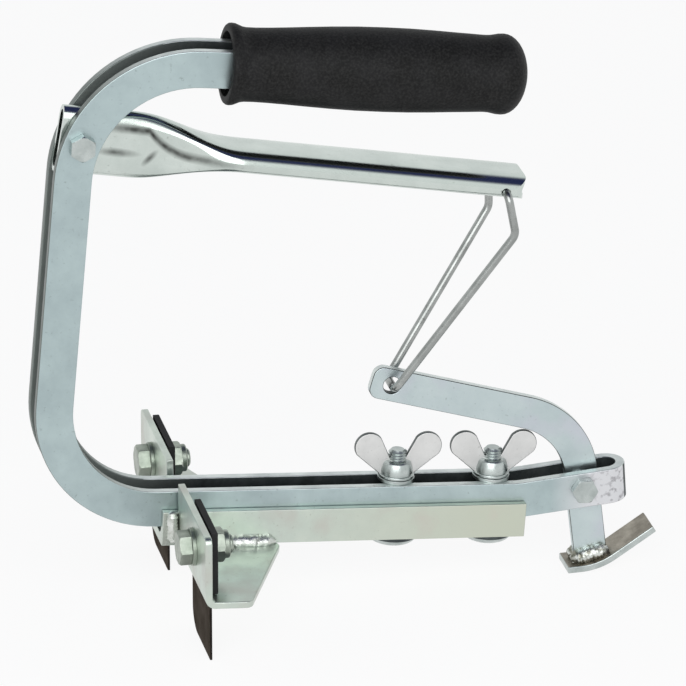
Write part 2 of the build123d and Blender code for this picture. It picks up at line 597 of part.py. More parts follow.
def make_pieces():
    """Every piece of the gripper by name, in crank pivot coordinates."""
    pieces = {"frame_bar": make_frame(), "hand_grip": make_grip()}
    pieces["lever_pivot_bolt"], pieces["lever_pivot_nut"] = pivot_fasteners(lever_pivot.X, lever_pivot.Y)
    pieces["crank_pivot_bolt"], pieces["crank_pivot_nut"] = pivot_fasteners(0, 0)
    pieces["crank_spacers"] = make_spacers()
    pieces["squeeze_lever"] = make_lever()
    pieces["wire_link"] = make_link()
    pieces["crank_arm"] = make_crank()
    pieces["shoe"] = make_shoe()
    pieces["shoe_weld"] = make_shoe_weld(pieces["crank_arm"])
    pieces["jaw_channel"] = make_channel()
    far_jaw = {
        "jaw_bracket": make_bracket(),
        "bracket_welds": make_bracket_welds(),
        "pad": make_pad(),
        **make_jaw_fasteners(),
    }
    for name, piece in far_jaw.items():
        pieces["far_" + name] = piece
        pieces["near_" + name] = mirror(piece, about=Plane.XZ)
    pieces["far_blade"] = make_blade()
    pieces["near_blade"] = Pos(0, -2 * JAW_CENTRE, 0) * pieces["far_blade"]
    clamp_washer = washer(CLAMP_WASHER_DIAMETER, CLAMP_DIAMETER, CLAMP_WASHER_THICKNESS)
    for side, clamp_x in (("left", clamp_left), ("right", clamp_right)):
        pieces[side + "_clamp_bolt"] = make_clamp_bolt(clamp_x)
        pieces[side + "_clamp_washer"] = Pos(clamp_x, 0, leg_top) * clamp_washer
        pieces[side + "_wing_nut"] = make_wing_nut(clamp_x)
    return pieces


pieces = make_pieces()

# Stand the gripper on the lower edges of its blades and its shoe
blade_edge = jaw_place.from_local_coords(Vector(0, 0, blade_foot))
shoe_edge = shoe_line[0] + Vector(front_along.Y, -front_along.X) * (SHOE_THICKNESS / 2)
stand_angle = degrees(atan2(shoe_edge.Y - blade_edge.Z, shoe_edge.X - blade_edge.X))
standing = Rot(0, stand_angle, 0)
box = Compound([standing * piece for piece in pieces.values()]).bounding_box()
place = Pos(-box.center().X, -box.center().Y, -box.min.Z) * standing

os.makedirs("parts", exist_ok=True)
for name, piece in pieces.items():
    export_step(place * piece, f"parts/{name}.step")
print(f"{len(pieces)} pieces, {box.size.X:.1f} x {box.size.Y:.1f} x {box.size.Z:.1f} mm")
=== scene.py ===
# %% [markdown]
# # Paving stone gripper
# This lesson dresses the solids of a gripper for paving stones, so that they look like plated steel
# and rubber. The solids are loaded first. They say where every piece is, and they never move. Each
# new piece takes the place of one of them and rides on the same moving body.

import bmesh
import bpy
import json
from math import atan2, cos, degrees, pi, radians, sin
from mathutils import Matrix, Vector

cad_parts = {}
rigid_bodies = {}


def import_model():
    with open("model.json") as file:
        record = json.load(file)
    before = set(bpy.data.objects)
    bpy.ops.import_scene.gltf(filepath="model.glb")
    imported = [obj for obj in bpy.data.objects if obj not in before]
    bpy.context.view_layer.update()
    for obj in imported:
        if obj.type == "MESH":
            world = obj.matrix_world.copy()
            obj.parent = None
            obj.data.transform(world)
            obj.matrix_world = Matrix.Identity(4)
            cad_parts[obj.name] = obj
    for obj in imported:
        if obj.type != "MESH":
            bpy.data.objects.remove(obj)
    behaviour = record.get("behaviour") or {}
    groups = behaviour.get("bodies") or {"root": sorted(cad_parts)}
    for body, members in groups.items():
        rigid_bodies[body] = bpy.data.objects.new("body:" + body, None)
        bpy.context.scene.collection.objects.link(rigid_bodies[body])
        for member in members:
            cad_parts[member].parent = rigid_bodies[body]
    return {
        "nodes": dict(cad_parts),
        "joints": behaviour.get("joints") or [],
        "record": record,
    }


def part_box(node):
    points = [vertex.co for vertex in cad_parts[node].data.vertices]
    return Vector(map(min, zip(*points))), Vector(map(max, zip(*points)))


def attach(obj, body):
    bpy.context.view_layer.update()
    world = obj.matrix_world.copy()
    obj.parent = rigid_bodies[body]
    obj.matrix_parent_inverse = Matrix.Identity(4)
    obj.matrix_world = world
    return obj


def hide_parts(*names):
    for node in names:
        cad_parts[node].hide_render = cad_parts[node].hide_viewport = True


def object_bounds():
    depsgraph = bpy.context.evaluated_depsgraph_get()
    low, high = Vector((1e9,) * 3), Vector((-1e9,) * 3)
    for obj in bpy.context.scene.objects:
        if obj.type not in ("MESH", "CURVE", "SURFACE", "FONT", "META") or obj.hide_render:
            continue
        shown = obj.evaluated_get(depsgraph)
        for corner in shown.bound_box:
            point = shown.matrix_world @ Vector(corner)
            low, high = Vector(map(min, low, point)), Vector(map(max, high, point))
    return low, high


bpy.ops.object.select_all(action="SELECT")
bpy.ops.object.delete()
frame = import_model()
cad_low, cad_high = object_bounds()
MM = 0.001
ACROSS = Vector((0, 1, 0))  # from the near jaw to the far one
joints = {joint["name"]: joint for joint in frame["joints"]}
# Directions along the lower run of the frame and up from it
run, rise = Vector(joints["jaw_travel"]["axis"]), Vector(joints["left_nut_turn"]["axis"])
# Places on the lower run are counted from this pivot
crank_pivot = Vector(joints["crank_hinge"]["pos_m"])
cad_size = [round(v / MM, 1) for v in cad_high - cad_low]
print("loaded", len(frame["nodes"]), "solids,", cad_size, "mm")

# %% [markdown]
# ## Colours and nodes
# A colour picked from a screen is written as sRGB hex. Blender's shaders count in linear light, so
# one function turns hex into linear numbers. Another adds a node, sets it and links it, because
# a material is a chain of such nodes.

# %% Colour and node helpers
def colour(code):
    """Linear RGBA of an sRGB hex colour."""
    parts = [int(code[at : at + 2], 16) / 255 for at in (1, 3, 5)]
    return [v / 12.92 if v <= 0.04045 else ((v + 0.055) / 1.055) ** 2.4 for v in parts] + [1]


def add_node(tree, kind, values={}, links={}, **settings):
    """A new node with its settings, its socket values, and the sockets that feed it."""
    made = tree.nodes.new(kind)
    for name, value in settings.items():
        setattr(made, name, value)
    for socket, value in values.items():
        made.inputs[socket].default_value = value
    for socket, source in links.items():
        tree.links.new(source, made.inputs[socket])
    return made


def new_material(name):
    """An empty material with its shader, its output and the coordinates of the object."""
    material = bpy.data.materials.new(name)
    material.use_nodes = True
    tree = material.node_tree
    tree.nodes.clear()
    shader = add_node(tree, "ShaderNodeBsdfPrincipled")
    add_node(tree, "ShaderNodeOutputMaterial", links={"Surface": shader.outputs[0]})
    return material, tree, shader, add_node(tree, "ShaderNodeTexCoord").outputs["Object"]


def per_mm(size):
    """Texture scale for a pattern whose patches are this many millimetres across."""
    return 1 / (size * MM)


print("a mid grey is", [round(v, 3) for v in colour("#808080")[:3]], "in linear light")

# %% [markdown]
# ## Zinc plated steel
# Most of the gripper is steel that was dipped in a zinc bath. Zinc shows a soft, cloudy grey with
# a cold tint, and it is rough enough to blur what it reflects. One noise gives the clouds, and
# another leaves a few dull specks where the plating is thin. A third gives the grain. Real grain is
# too fine to show here, so it is drawn half a millimetre wide.

# %% Plated steel as a recipe
ZINC_GRAIN = 0.5  # mm


def zinc(name, bright, dull, speck, cloud, least, most, speck_size=1.6, depth=0.02):
    """Plated steel: clouds between two colours, specks, and a roughness that follows the clouds.

    Clouds, specks and the depth of the grain are in mm. The roughness goes from least to most.
    """
    material, tree, shader, place = new_material(name)
    pattern = {"Scale": per_mm(cloud), "Detail": 9, "Roughness": 0.62}
    clouds = add_node(tree, "ShaderNodeTexNoise", pattern, {"Vector": place}).outputs["Fac"]
    range_used = {"From Min": 0.35, "From Max": 0.65}
    share = add_node(tree, "ShaderNodeMapRange", range_used, {"Value": clouds}).outputs["Result"]
    two = {"A": colour(bright), "B": colour(dull)}
    base = add_node(tree, "ShaderNodeMix", two, {"Factor": share}, data_type="RGBA")

    pattern = {"Scale": per_mm(speck_size), "Detail": 2}
    specks = add_node(tree, "ShaderNodeTexNoise", pattern, {"Vector": place}).outputs["Fac"]
    range_used = {"From Min": 0.66, "From Max": 0.8, "To Max": 0.6}
    share = add_node(tree, "ShaderNodeMapRange", range_used, {"Value": specks}).outputs["Result"]
    links = {"Factor": share, "A": base.outputs["Result"]}
    specked = add_node(tree, "ShaderNodeMix", {"B": colour(speck)}, links, data_type="RGBA")
    tree.links.new(specked.outputs["Result"], shader.inputs["Base Color"])

    range_used = {"From Min": 0.3, "From Max": 0.7, "To Min": least, "To Max": most}
    dulling = add_node(tree, "ShaderNodeMapRange", range_used, {"Value": clouds})
    tree.links.new(dulling.outputs["Result"], shader.inputs["Roughness"])
    pattern = {"Scale": per_mm(ZINC_GRAIN), "Detail": 3}
    grain = add_node(tree, "ShaderNodeTexNoise", pattern, {"Vector": place}).outputs["Fac"]
    bump = add_node(tree, "ShaderNodeBump", {"Distance": depth * MM}, {"Height": grain})
    tree.links.new(bump.outputs["Normal"], shader.inputs["Normal"])
    shader.inputs["Metallic"].default_value = 1
    return material


# Flat bar of the frame: cold grey with soft clouds
zinc_bar = zinc("zinc plated flat bar", "#B6C6C7", "#A6B5B7", "#869292", 20, 0.3, 0.42)
print("first finish:", zinc_bar.name, "with", len(zinc_bar.node_tree.nodes), "nodes")

# %% [markdown]
# ## One bath, many greys
# The other steel pieces went through the same bath, but they came to it drawn, rolled, bent or
# tumbled. So they differ in brightness, tint and gloss, and each has its own numbers in the recipe.
# Three of the greys are painted light rather than plating: a painted highlight on edges, and
# painted shade in the fold, in hollows and on rims.

# %% Zinc of bar, tube, wire and sheet
# Painted highlight for the bar's edges that look up or left, and painted shade for the inside of
# its fold
painted_highlight_zinc = zinc("zinc with a painted highlight", "#E2E8E6", "#CFD6D4", "#9AA3A1", 12, 0.36, 0.48)
painted_shade_zinc = zinc("zinc with painted shade", "#585E5F", "#404647", "#2E3233", 6, 0.5, 0.6)
# Rims of the crank and of the wing nuts' leaves: a painted shade that draws a thin dark outline
painted_rim_shade = zinc("zinc with painted shade on the rims", "#747978", "#5E6362", "#484C4B", 5, 0.4, 0.5)
# Crank: the same bar with a fresher, paler plating
crank_zinc = zinc("fresh zinc on flat bar", "#C6D2D3", "#B8C5C7", "#95A09F", 20, 0.28, 0.4)
# Tube: drawn smooth before plating, so it mirrors its surroundings
zinc_tube = zinc(
    "bright zinc plated tube", "#CED6D1", "#BFC8C3", "#8E948E", 22, 0.1, 0.2, depth=0.008
)
# Wire: drawn, greyer than the bar
zinc_wire = zinc("zinc plated wire", "#A9ACAA", "#8E918F", "#6E706C", 9, 0.22, 0.34)
# Sheet: the channel and the brackets, faintly green and yellow
zinc_sheet = zinc("zinc plated sheet", "#CDD6CC", "#BDC8C0", "#8F9488", 18, 0.28, 0.4)
# Shoe: worn, brownish
zinc_shoe = zinc("worn zinc plated shoe", "#A8A296", "#857F74", "#645E54", 8, 0.34, 0.46)
print(len(bpy.data.materials), "materials after the bar, tube, wire and sheet")

# %% Zinc of bolts, nuts and welds, and the dark blades
# Bolts, nuts and washers: small, bright and smooth
zinc_fastener = zinc("bright zinc fastener", "#C2C9C7", "#A8B0AE", "#828886", 6, 0.24, 0.36)
# Bolts of the jaws: the same with a thicker, greenish sealing, so they mirror less
jaw_zinc = zinc("greenish zinc fastener", "#A6AEA3", "#8C948A", "#6C736A", 5, 0.3, 0.42)
# Leaves of the wing nuts: tumbled before plating, so flat and matte
wing_zinc = zinc("tumbled zinc", "#DADAD9", "#D0D0CF", "#AEAEAC", 10, 0.5, 0.6)
# Weld beads: rippled, bright, with brown burnt spots
weld_metal = zinc(
    "plated weld bead", "#DDE0DC", "#BFC3BC", "#8A7B62", 3, 0.22, 0.38, speck_size=1.2, depth=0.1
)
# Blades: oiled spring steel, nearly black, and dark at a flat angle too
blade_steel = zinc("dark spring steel", "#35312E", "#211E1C", "#171514", 12, 0.4, 0.52)
blade_shader = blade_steel.node_tree.nodes["Principled BSDF"]
blade_shader.inputs["Specular Tint"].default_value = colour("#C0BAB4")
print(len(bpy.data.materials), "materials after the zinc finishes")

# %% [markdown]
# ## Where plating and painted light change along a piece
# Plating isn't the same all over, and neither is the painted light. On the long left side the
# painted highlight on the bar's edges turns grey, and the painted shade in the fold is lighter
# there. Its nose gets a painted highlight and has dark specks. The bath that seals the zinc leaves
# a faint rainbow too. A share between 0 and 1 says where a second colour lies over the first: it
# follows the place along X, the patches of a noise, or the product of both.

# %% Helpers for tints
def own_place(material):
    """The coordinates of the object, as a finish already reads them."""
    return material.node_tree.nodes["Texture Coordinate"].outputs["Object"]


def lay_over(material, code, *shares):
    """Lays another colour over a finish, as far as the product of some shares says."""
    tree = material.node_tree
    share, *others = shares
    for other in others:
        product = add_node(tree, "ShaderNodeMath", links={0: share, 1: other}, operation="MULTIPLY")
        share = product.outputs[0]
    target = tree.nodes["Principled BSDF"].inputs["Base Color"]
    links = {"Factor": share, "A": target.links[0].from_socket}
    laid = add_node(tree, "ShaderNodeMix", {"B": colour(code)}, links, data_type="RGBA")
    tree.links.new(laid.outputs["Result"], target)


def along_x(material, start, end):
    """A share that rises from 0 to 1 between two places along X, in mm."""
    tree = material.node_tree
    parts = add_node(tree, "ShaderNodeSeparateXYZ", links={"Vector": own_place(material)})
    range_used = {"From Min": start * MM, "From Max": end * MM}
    share = add_node(tree, "ShaderNodeMapRange", range_used, {"Value": parts.outputs["X"]})
    return share.outputs["Result"]


def patches(material, size, most, start=0.5, end=0.7):
    """A share that follows a noise with patches of this size in mm, up to a given most."""
    tree = material.node_tree
    pattern = {"Scale": per_mm(size), "Detail": 5}
    noise = add_node(tree, "ShaderNodeTexNoise", pattern, {"Vector": own_place(material)})
    range_used = {"From Min": start, "From Max": end, "To Max": most}
    share = add_node(tree, "ShaderNodeMapRange", range_used, {"Value": noise.outputs["Fac"]})
    return share.outputs["Result"]


print("a tint lies along X, in patches, or both")

# %% Tints, wear and painted light
# Long left side: the painted highlight on the edges turns grey, and the painted shade in the fold
# is lighter
lay_over(painted_highlight_zinc, "#727976", along_x(painted_highlight_zinc, -84, -112))
lay_over(painted_shade_zinc, "#838A87", along_x(painted_shade_zinc, -62, -112))
# Yellow towards the right end of the channel, pink in patches, violet on the crank
lay_over(zinc_sheet, "#C6CBBC", along_x(zinc_sheet, -30, 60))
lay_over(zinc_sheet, "#CBBFB8", patches(zinc_sheet, 18, 0.4))
lay_over(crank_zinc, "#C6C5D2", patches(crank_zinc, 18, 0.5))
# Nose of the frame: a painted highlight, with dark specks
lay_over(zinc_bar, "#D9DADD", along_x(zinc_bar, 88, 106))
nose_specks = patches(zinc_bar, 2.4, 0.6, 0.52, 0.68)
lay_over(zinc_bar, "#68646A", along_x(zinc_bar, 98, 114), nose_specks)
# Weld under the crank: burnt in patches
burnt = patches(weld_metal, 3, 0.7, 0.48, 0.6)
lay_over(weld_metal, "#67634F", along_x(weld_metal, 88, 96), burnt)
tinted = (painted_highlight_zinc, painted_shade_zinc, zinc_sheet, crank_zinc, zinc_bar, weld_metal)
print("tinted:", ", ".join(finish.name for finish in tinted))

# %% [markdown]
# ## Rubber
# The grip is black moulded rubber, and the pads are cut from black rubber sheet. Rubber isn't
# a metal: it has a dark body and a broad, weak sheen. A fine grain breaks that sheen up, as the
# mould's sanded wall leaves it. The real grain is finer, and is drawn nearly a millimetre wide so
# that it shows.

# %% Rubber finishes
def rubber(name, body, worn, roughness, patch, grain, depth):
    """Moulded rubber: a dark body with faint pale rubbing and a sanded grain. Sizes are in mm."""
    material, tree, shader, place = new_material(name)
    pattern = {"Scale": per_mm(patch), "Detail": 4}
    rubbing = add_node(tree, "ShaderNodeTexNoise", pattern, {"Vector": place}).outputs["Fac"]
    range_used = {"From Min": 0.4, "From Max": 0.75}
    share = add_node(tree, "ShaderNodeMapRange", range_used, {"Value": rubbing}).outputs["Result"]
    two = {"A": colour(body), "B": colour(worn)}
    base = add_node(tree, "ShaderNodeMix", two, {"Factor": share}, data_type="RGBA")
    tree.links.new(base.outputs["Result"], shader.inputs["Base Color"])
    pattern = {"Scale": per_mm(grain), "Detail": 2}
    sand = add_node(tree, "ShaderNodeTexNoise", pattern, {"Vector": place}).outputs["Fac"]
    bump = add_node(tree, "ShaderNodeBump", {"Distance": depth * MM}, {"Height": sand})
    tree.links.new(bump.outputs["Normal"], shader.inputs["Normal"])
    shader.inputs["Roughness"].default_value = roughness
    shader.inputs["Specular IOR Level"].default_value = 0.12
    return material


# Grip: moulded in a sanded mould, so it is deep black with a dull sheen and dust in its grain
grip_rubber = rubber("moulded black rubber", "#141414", "#1F1F20", 0.55, 14, 0.9, 0.12)
lay_over(grip_rubber, "#3C3C3B", patches(grip_rubber, 1.0, 0.4, 0.4, 0.75))
# Pads: cut from smooth sheet, so they are greyer and even
pad_rubber = rubber("black rubber sheet", "#262626", "#303030", 0.65, 9, 0.6, 0.05)
print("rubber:", grip_rubber.name, "and", pad_rubber.name)

# %% [markdown]
# ## From a solid to a piece
# Every solid belongs to a finish and to a moving body, and its new piece takes both over. The
# helpers do what a hand does with the mouse: pick one object, add a primitive, apply a modifier.

# %% Finishes and bodies of the solids
SLOT_FINISH = {
    "zinc_bar": zinc_bar,
    "zinc_tube": zinc_tube,
    "zinc_wire": zinc_wire,
    "zinc_sheet": zinc_sheet,
    "zinc_shoe": zinc_shoe,
    "zinc_fastener": zinc_fastener,
    "weld_metal": weld_metal,
    "blade_steel": blade_steel,
    "grip_rubber": grip_rubber,
    "pad_rubber": pad_rubber,
}
node_slot = {part["node"]: part["material_slot"] for part in frame["record"]["subparts"]}
body_nodes = frame["record"]["behaviour"]["bodies"]
node_body = {node: body for body, nodes in body_nodes.items() for node in nodes}


# %% Helpers for pieces
def pick(piece):
    """Selects one object alone and makes it the active one."""
    bpy.ops.object.select_all(action="DESELECT")
    piece.select_set(True)
    bpy.context.view_layer.objects.active = piece


def fresh(add, **settings):
    """Adds a primitive while nothing else is selected."""
    bpy.ops.object.select_all(action="DESELECT")
    add(**settings)
    return bpy.context.object


def settle(piece):
    """Puts a piece's place, turn and scale into its mesh, and leaves its object at the origin."""
    pick(piece)
    bpy.ops.object.transform_apply(location=True, rotation=True, scale=True)


def apply_modifier(piece, kind, **settings):
    """Adds a modifier, sets it and applies it."""
    pick(piece)
    bpy.ops.object.modifier_add(type=kind)
    modifier = piece.modifiers[-1]
    for name, value in settings.items():
        setattr(modifier, name, value)
    bpy.ops.object.modifier_apply(modifier=modifier.name)


def smooth(piece, angle):
    """Shades a piece smooth across edges flatter than this many degrees."""
    pick(piece)
    bpy.ops.object.shade_smooth_by_angle(angle=radians(angle))


def stand_in(piece, node):
    """Lets a piece stand for a solid: same body, and the slot's finish if it has none yet."""
    piece.name = node + "_finish"
    if not piece.data.materials:
        piece.data.materials.append(SLOT_FINISH[node_slot[node]])
    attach(piece, node_body[node])
    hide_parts(node)


print("ready to pick, add, settle, modify, smooth and stand in")

# %% [markdown]
# ## Softened edges
# A real plate has no knife edges: cutting, bending and plating round them, and that thin round
# catches a line of light. The solids have sharp edges, so each plain piece starts as a copy of its
# solid. Its loose triangles are merged, flat neighbours are joined into one face, and a Bevel
# modifier rounds the edges that carry a bevel weight. Weighted normals then keep the large faces
# flat. The edges of a slot that another piece fills stay sharp, because nobody sees them.

# %% Merged copies of solids
MERGE = 0.004  # mm
FLAT = 0.4  # degrees between faces that are joined into one


def merged_copy(node, join_flat=True):
    """A copy of a solid with its triangles merged and, where asked, its flat faces joined."""
    piece = bpy.data.objects.new(node + "_finish", frame["nodes"][node].data.copy())
    bpy.context.scene.collection.objects.link(piece)
    pick(piece)
    bpy.ops.object.mode_set(mode="EDIT")
    bpy.ops.mesh.select_all(action="SELECT")
    bpy.ops.mesh.customdata_custom_splitnormals_clear()
    bpy.ops.mesh.remove_doubles(threshold=MERGE * MM)
    if join_flat:
        bpy.ops.mesh.dissolve_limited(angle_limit=radians(FLAT))
    bpy.ops.object.mode_set(mode="OBJECT")
    piece.data.materials.clear()
    return piece


print("corners within", MERGE, "mm get merged")

# %% Rounded edges
SHARP = 58  # degrees, and more, at an edge that is rounded
SLOT_PLAY = 0.5  # mm round the piece that fills a slot
SMOOTH = 40  # degrees, and less, at an edge that is shaded smooth
SMOOTH_HEXAGON = 28  # a hexagon's chamfer slopes by 30 degrees, and has to stay crisp
NORMALS = {"weight": 60, "keep_sharp": True}


def mark_sharp(piece, filler):
    """Gives the sharp edges a bevel weight, but not those of a slot that another solid fills."""
    pick(piece)
    bpy.ops.object.mode_set(mode="EDIT")
    bpy.ops.mesh.select_mode(type="EDGE")
    bpy.ops.mesh.select_all(action="DESELECT")
    bpy.ops.mesh.edges_select_sharp(sharpness=radians(SHARP))
    if filler:
        play = Vector((1, 1, 1)) * (SLOT_PLAY * MM)
        low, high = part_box(filler)
        low, high = low - play, high + play
        mesh = bmesh.from_edit_mesh(piece.data)
        for edge in mesh.edges:
            ends = [end.co for end in edge.verts]
            if all(low[axis] < end[axis] < high[axis] for end in ends for axis in range(3)):
                edge.select_set(False)
        bmesh.update_edit_mesh(piece.data)
    bpy.ops.transform.edge_bevelweight(value=1)
    bpy.ops.object.mode_set(mode="OBJECT")


def soften(node, width, filler=None):
    """A copy of a solid with its sharp edges rounded by this many millimetres."""
    piece = merged_copy(node, join_flat=width > 0)
    if width:
        mark_sharp(piece, filler)
        limits = {"limit_method": "WEIGHT", "use_clamp_overlap": False, "loop_slide": False}
        apply_modifier(piece, "BEVEL", width=width * MM, segments=3, **limits)
    smooth(piece, SMOOTH_HEXAGON if node.endswith(("bolt", "nut")) else SMOOTH)
    apply_modifier(piece, "WEIGHTED_NORMAL", **NORMALS)
    return piece


def turn_hexagon(piece, node, axis):
    """Turns a bolt or nut by 30 degrees about its axis, from a corner on top to a flat or back."""
    low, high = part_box(node)
    hub = Matrix.Translation((low + high) / 2)
    piece.matrix_world = hub @ Matrix.Rotation(radians(30), 4, axis) @ hub.inverted()
    settle(piece)


print("edges over", SHARP, "degrees get rounded")

# %% [markdown]
# ## Plain pieces
# Bar, plates, wire, bolts and nuts already have the right shape as solids, so a softened copy is
# enough. A thick bar is rounded more than a thin blade. The wire is round already, and the rubber
# pads keep the edges of their solids.

# %% Plain pieces
EDGES = {  # mm
    "frame_bar": 0.45,
    "crank_arm": 0.5,
    "shoe": 0.5,
    "jaw_channel": 0.4,
    "near_jaw_bracket": 0.5,
    "far_jaw_bracket": 0.5,
    "near_pad": 0.0,
    "far_pad": 0.0,
    "near_blade": 0.15,
    "far_blade": 0.15,
    "wire_link": 0.0,
}
FASTENER_EDGE = 0.2  # mm
# Pieces with these words in their names are modelled from scratch further down
MODELLED = ("hand_grip", "squeeze_lever", "wing_nut", "clamp_bolt", "weld")
# The ears lean back by this many degrees against the lower run, and the bolts of the jaws with them
EAR_LEAN = 4
jaw_lean = radians(EAR_LEAN) - atan2(-run.z, run.x)
for node in node_slot:
    if any(word in node for word in MODELLED):
        continue
    blade = node.replace("jaw_bracket", "blade") if node.endswith("jaw_bracket") else None
    made = soften(node, EDGES.get(node, FASTENER_EDGE), filler=blade)
    if node.endswith(("jaw_bolt", "jaw_nut")):
        turn_hexagon(made, node, (cos(jaw_lean), 0, sin(jaw_lean)))
    if node == "lever_pivot_bolt":
        turn_hexagon(made, node, ACROSS)
    if node == "crank_arm":
        made.data.materials.append(crank_zinc)
    if node.endswith(("jaw_bolt", "jaw_nut", "jaw_washer")):
        made.data.materials.append(jaw_zinc)
    stand_in(made, node)
    print(made.name, len(made.data.polygons), "faces")

# %% [markdown]
# ## Painted shade in the slot and painted highlight on the edges
# The bar is folded double, and little light reaches the faces that look at each other. Those faces
# get a painted shade: they are the ones close to the middle plane that face it. The narrow edges
# that look left or up get a painted highlight. A face's normal says where it looks: along an axis
# it is 1 or -1, and across that axis it is 0.

# %% Slot and edge faces of the frame
SLOT_HALF = 5.2  # mm, half the slot with a little play
RIM = 0.8  # a normal with less than this along Y belongs to a rim or an edge, not to a flat side
UPWARD, LEFTWARD = 0.2, -0.05  # limits along Z and X for edges that look up or left
LYING, BLUNT = 0.7, 0.99  # limits along Z and X, past which a face is no wall of the slot
frame_bar = bpy.data.objects["frame_bar_finish"]
frame_bar.data.materials.append(painted_shade_zinc)
frame_bar.data.materials.append(painted_highlight_zinc)
for face in frame_bar.data.polygons:
    upright = abs(face.normal.z) < LYING and abs(face.normal.x) <= BLUNT
    # The walls of the slot get a painted shade
    if abs(face.center.y) < SLOT_HALF * MM and upright:
        face.material_index = 1
    # Edges that look left or up get a painted highlight
    elif abs(face.normal.y) < RIM and (face.normal.x < LEFTWARD or face.normal.z > UPWARD):
        face.material_index = 2
finishes = [face.material_index for face in frame_bar.data.polygons]
print("slot faces:", finishes.count(1), "and edge faces:", finishes.count(2))

# %% [markdown]
# ## Faces of the crank and the shoe
# The crank's upper edges get the frame's painted highlight. Its rounded rims and the edges that
# look down get a painted shade, a thin dark outline, and the wall of its hole gets a painted shade
# too. Stones have scraped the shoe's front and its left end bright.

# %% Crank and shoe faces
WIRE_HOLE = crank_pivot + (run * -86.5 + rise * 46.8) * MM
WIRE_HOLE_REACH = 4.4  # mm, a little more than the hole's radius
ROUNDED = 0.1  # a rim's normal with more than this along Y belongs to a rounded edge
SHOE_FRONT, SHOE_LEFT = -0.6, -0.7  # limits along Y and X
crank_arm = bpy.data.objects["crank_arm_finish"]
for finish in (painted_highlight_zinc, painted_shade_zinc, painted_rim_shade):
    crank_arm.data.materials.append(finish)
for face in crank_arm.data.polygons:
    if abs(face.normal.y) < RIM:
        # The wall of the wire's hole gets a painted shade
        if (face.center - WIRE_HOLE).xz.length < WIRE_HOLE_REACH * MM:
            face.material_index = 2
        # Rounded rims and edges that look down get a painted shade, and edges that look up get the
        # painted highlight
        elif abs(face.normal.y) > ROUNDED or face.normal.z < -UPWARD:
            face.material_index = 3
        else:
            face.material_index = int(face.normal.z > UPWARD)
shoe = bpy.data.objects["shoe_finish"]
shoe.data.materials.append(zinc_fastener)
for face in shoe.data.polygons:
    face.material_index = int(face.normal.y < SHOE_FRONT or face.normal.x < SHOE_LEFT)
print("faces changed on", crank_arm.name, "and", shoe.name)

# %% [markdown]
# ## Turned pieces
# A grip, a bolt and a nut's hub are all round. Such a piece can be drawn like a potter pulls clay:
# start with a circle, pull it along its axis, widen or narrow the new ring, and go on. Each ring is
# a pair of numbers: how far along, and how wide.

# %% Turning
def close_edit():
    """Leaves edit mode with all faces of the mesh looking outwards."""
    bpy.ops.mesh.select_all(action="SELECT")
    bpy.ops.mesh.normals_make_consistent(inside=False)
    bpy.ops.object.mode_set(mode="OBJECT")


def turned(rings, sides=64):
    """A closed round piece along +Z, pulled from a circle through (along, radius) pairs in mm."""
    (along, radius), *rest = rings
    circle = {"vertices": sides, "radius": radius * MM, "fill_type": "NGON"}
    piece = fresh(bpy.ops.mesh.primitive_circle_add, **circle)
    bpy.ops.object.mode_set(mode="EDIT")
    bpy.ops.mesh.select_all(action="SELECT")
    bpy.ops.transform.translate(value=(0, 0, along * MM))
    for next_along, next_radius in rest:
        pull = {"value": (0, 0, (next_along - along) * MM)}
        bpy.ops.mesh.extrude_region_move(TRANSFORM_OT_translate=pull)
        grow = next_radius / radius
        bpy.ops.transform.resize(value=(grow, grow, 1), center_override=(0, 0, next_along * MM))
        along, radius = next_along, next_radius
    close_edit()
    return piece


print("ready to turn")


# %% Placing and cutting
def put(piece, origin, z_axis, x_axis=None):
    """Moves a piece from its own axes into the gripper, with Y across it unless X is given."""
    z_axis = Vector(z_axis)
    x_axis = Vector(x_axis or ACROSS.cross(z_axis)).normalized()
    z_axis = z_axis.normalized()
    turn = Matrix((x_axis, z_axis.cross(x_axis), z_axis)).transposed().to_4x4()
    piece.matrix_world = Matrix.Translation(origin) @ turn
    settle(piece)


def cut(piece, tool, operation="DIFFERENCE"):
    """Cuts a piece with another one, which is used up."""
    apply_modifier(piece, "BOOLEAN", object=tool, operation=operation, solver="EXACT")
    bpy.data.objects.remove(tool)


def box(low, high):
    """A block between two corners in mm, as a tool for cutting."""
    low, high = Vector(low) * MM, Vector(high) * MM
    block = fresh(bpy.ops.mesh.primitive_cube_add, size=1)
    block.location, block.scale = (low + high) / 2, high - low
    settle(block)
    return block


print("ready to place and cut")

# %% [markdown]
# ## Hand grip
# The grip is a rubber sleeve with a flared lip, a slim neck, a full belly for the palm and a bead
# before its rounded end. It is turned ring by ring. A block cuts the hollow that the two legs of
# the bar fill, and a cylinder opens the mouth, where the sleeve stands off the bar.

# %% Rings of the hand grip
GRIP_LENGTH, DOME, BEAD = 128.5, 10.0, 16.95  # mm: whole length, length of the dome, bead's radius
DOME_STEPS, DOME_TIP = 10, 0.5  # the tip is a small flat with this radius in mm
LIP = [(0, 15.6), (0.3, 16.5), (1.0, 17.0), (2.0, 17.1), (3.2, 16.95), (4.6, 16.4), (6.2, 15.75)]
NECK = [(8, 15.45), (12, 15.4), (18, 15.6), (25, 15.95), (34, 16.5)]
BELLY = [(45, 17.1), (56, 17.5), (68, 17.6), (78, 17.5), (88, 17.15), (97, 16.7)]
WAIST = [(105, 16.35), (109, 16.15), (111, 16.1), (112.8, 16.2), (114.6, 16.5), (116.4, 16.85)]
sleeve = LIP + NECK + BELLY + WAIST + [(GRIP_LENGTH - DOME, BEAD)]
for step in range(1, DOME_STEPS + 1):
    bend = radians(90 * step / DOME_STEPS)
    radius = DOME_TIP + (BEAD - DOME_TIP) * cos(bend)
    sleeve.append((GRIP_LENGTH - DOME * (1 - sin(bend)), radius))
print("grip rings:", len(sleeve))

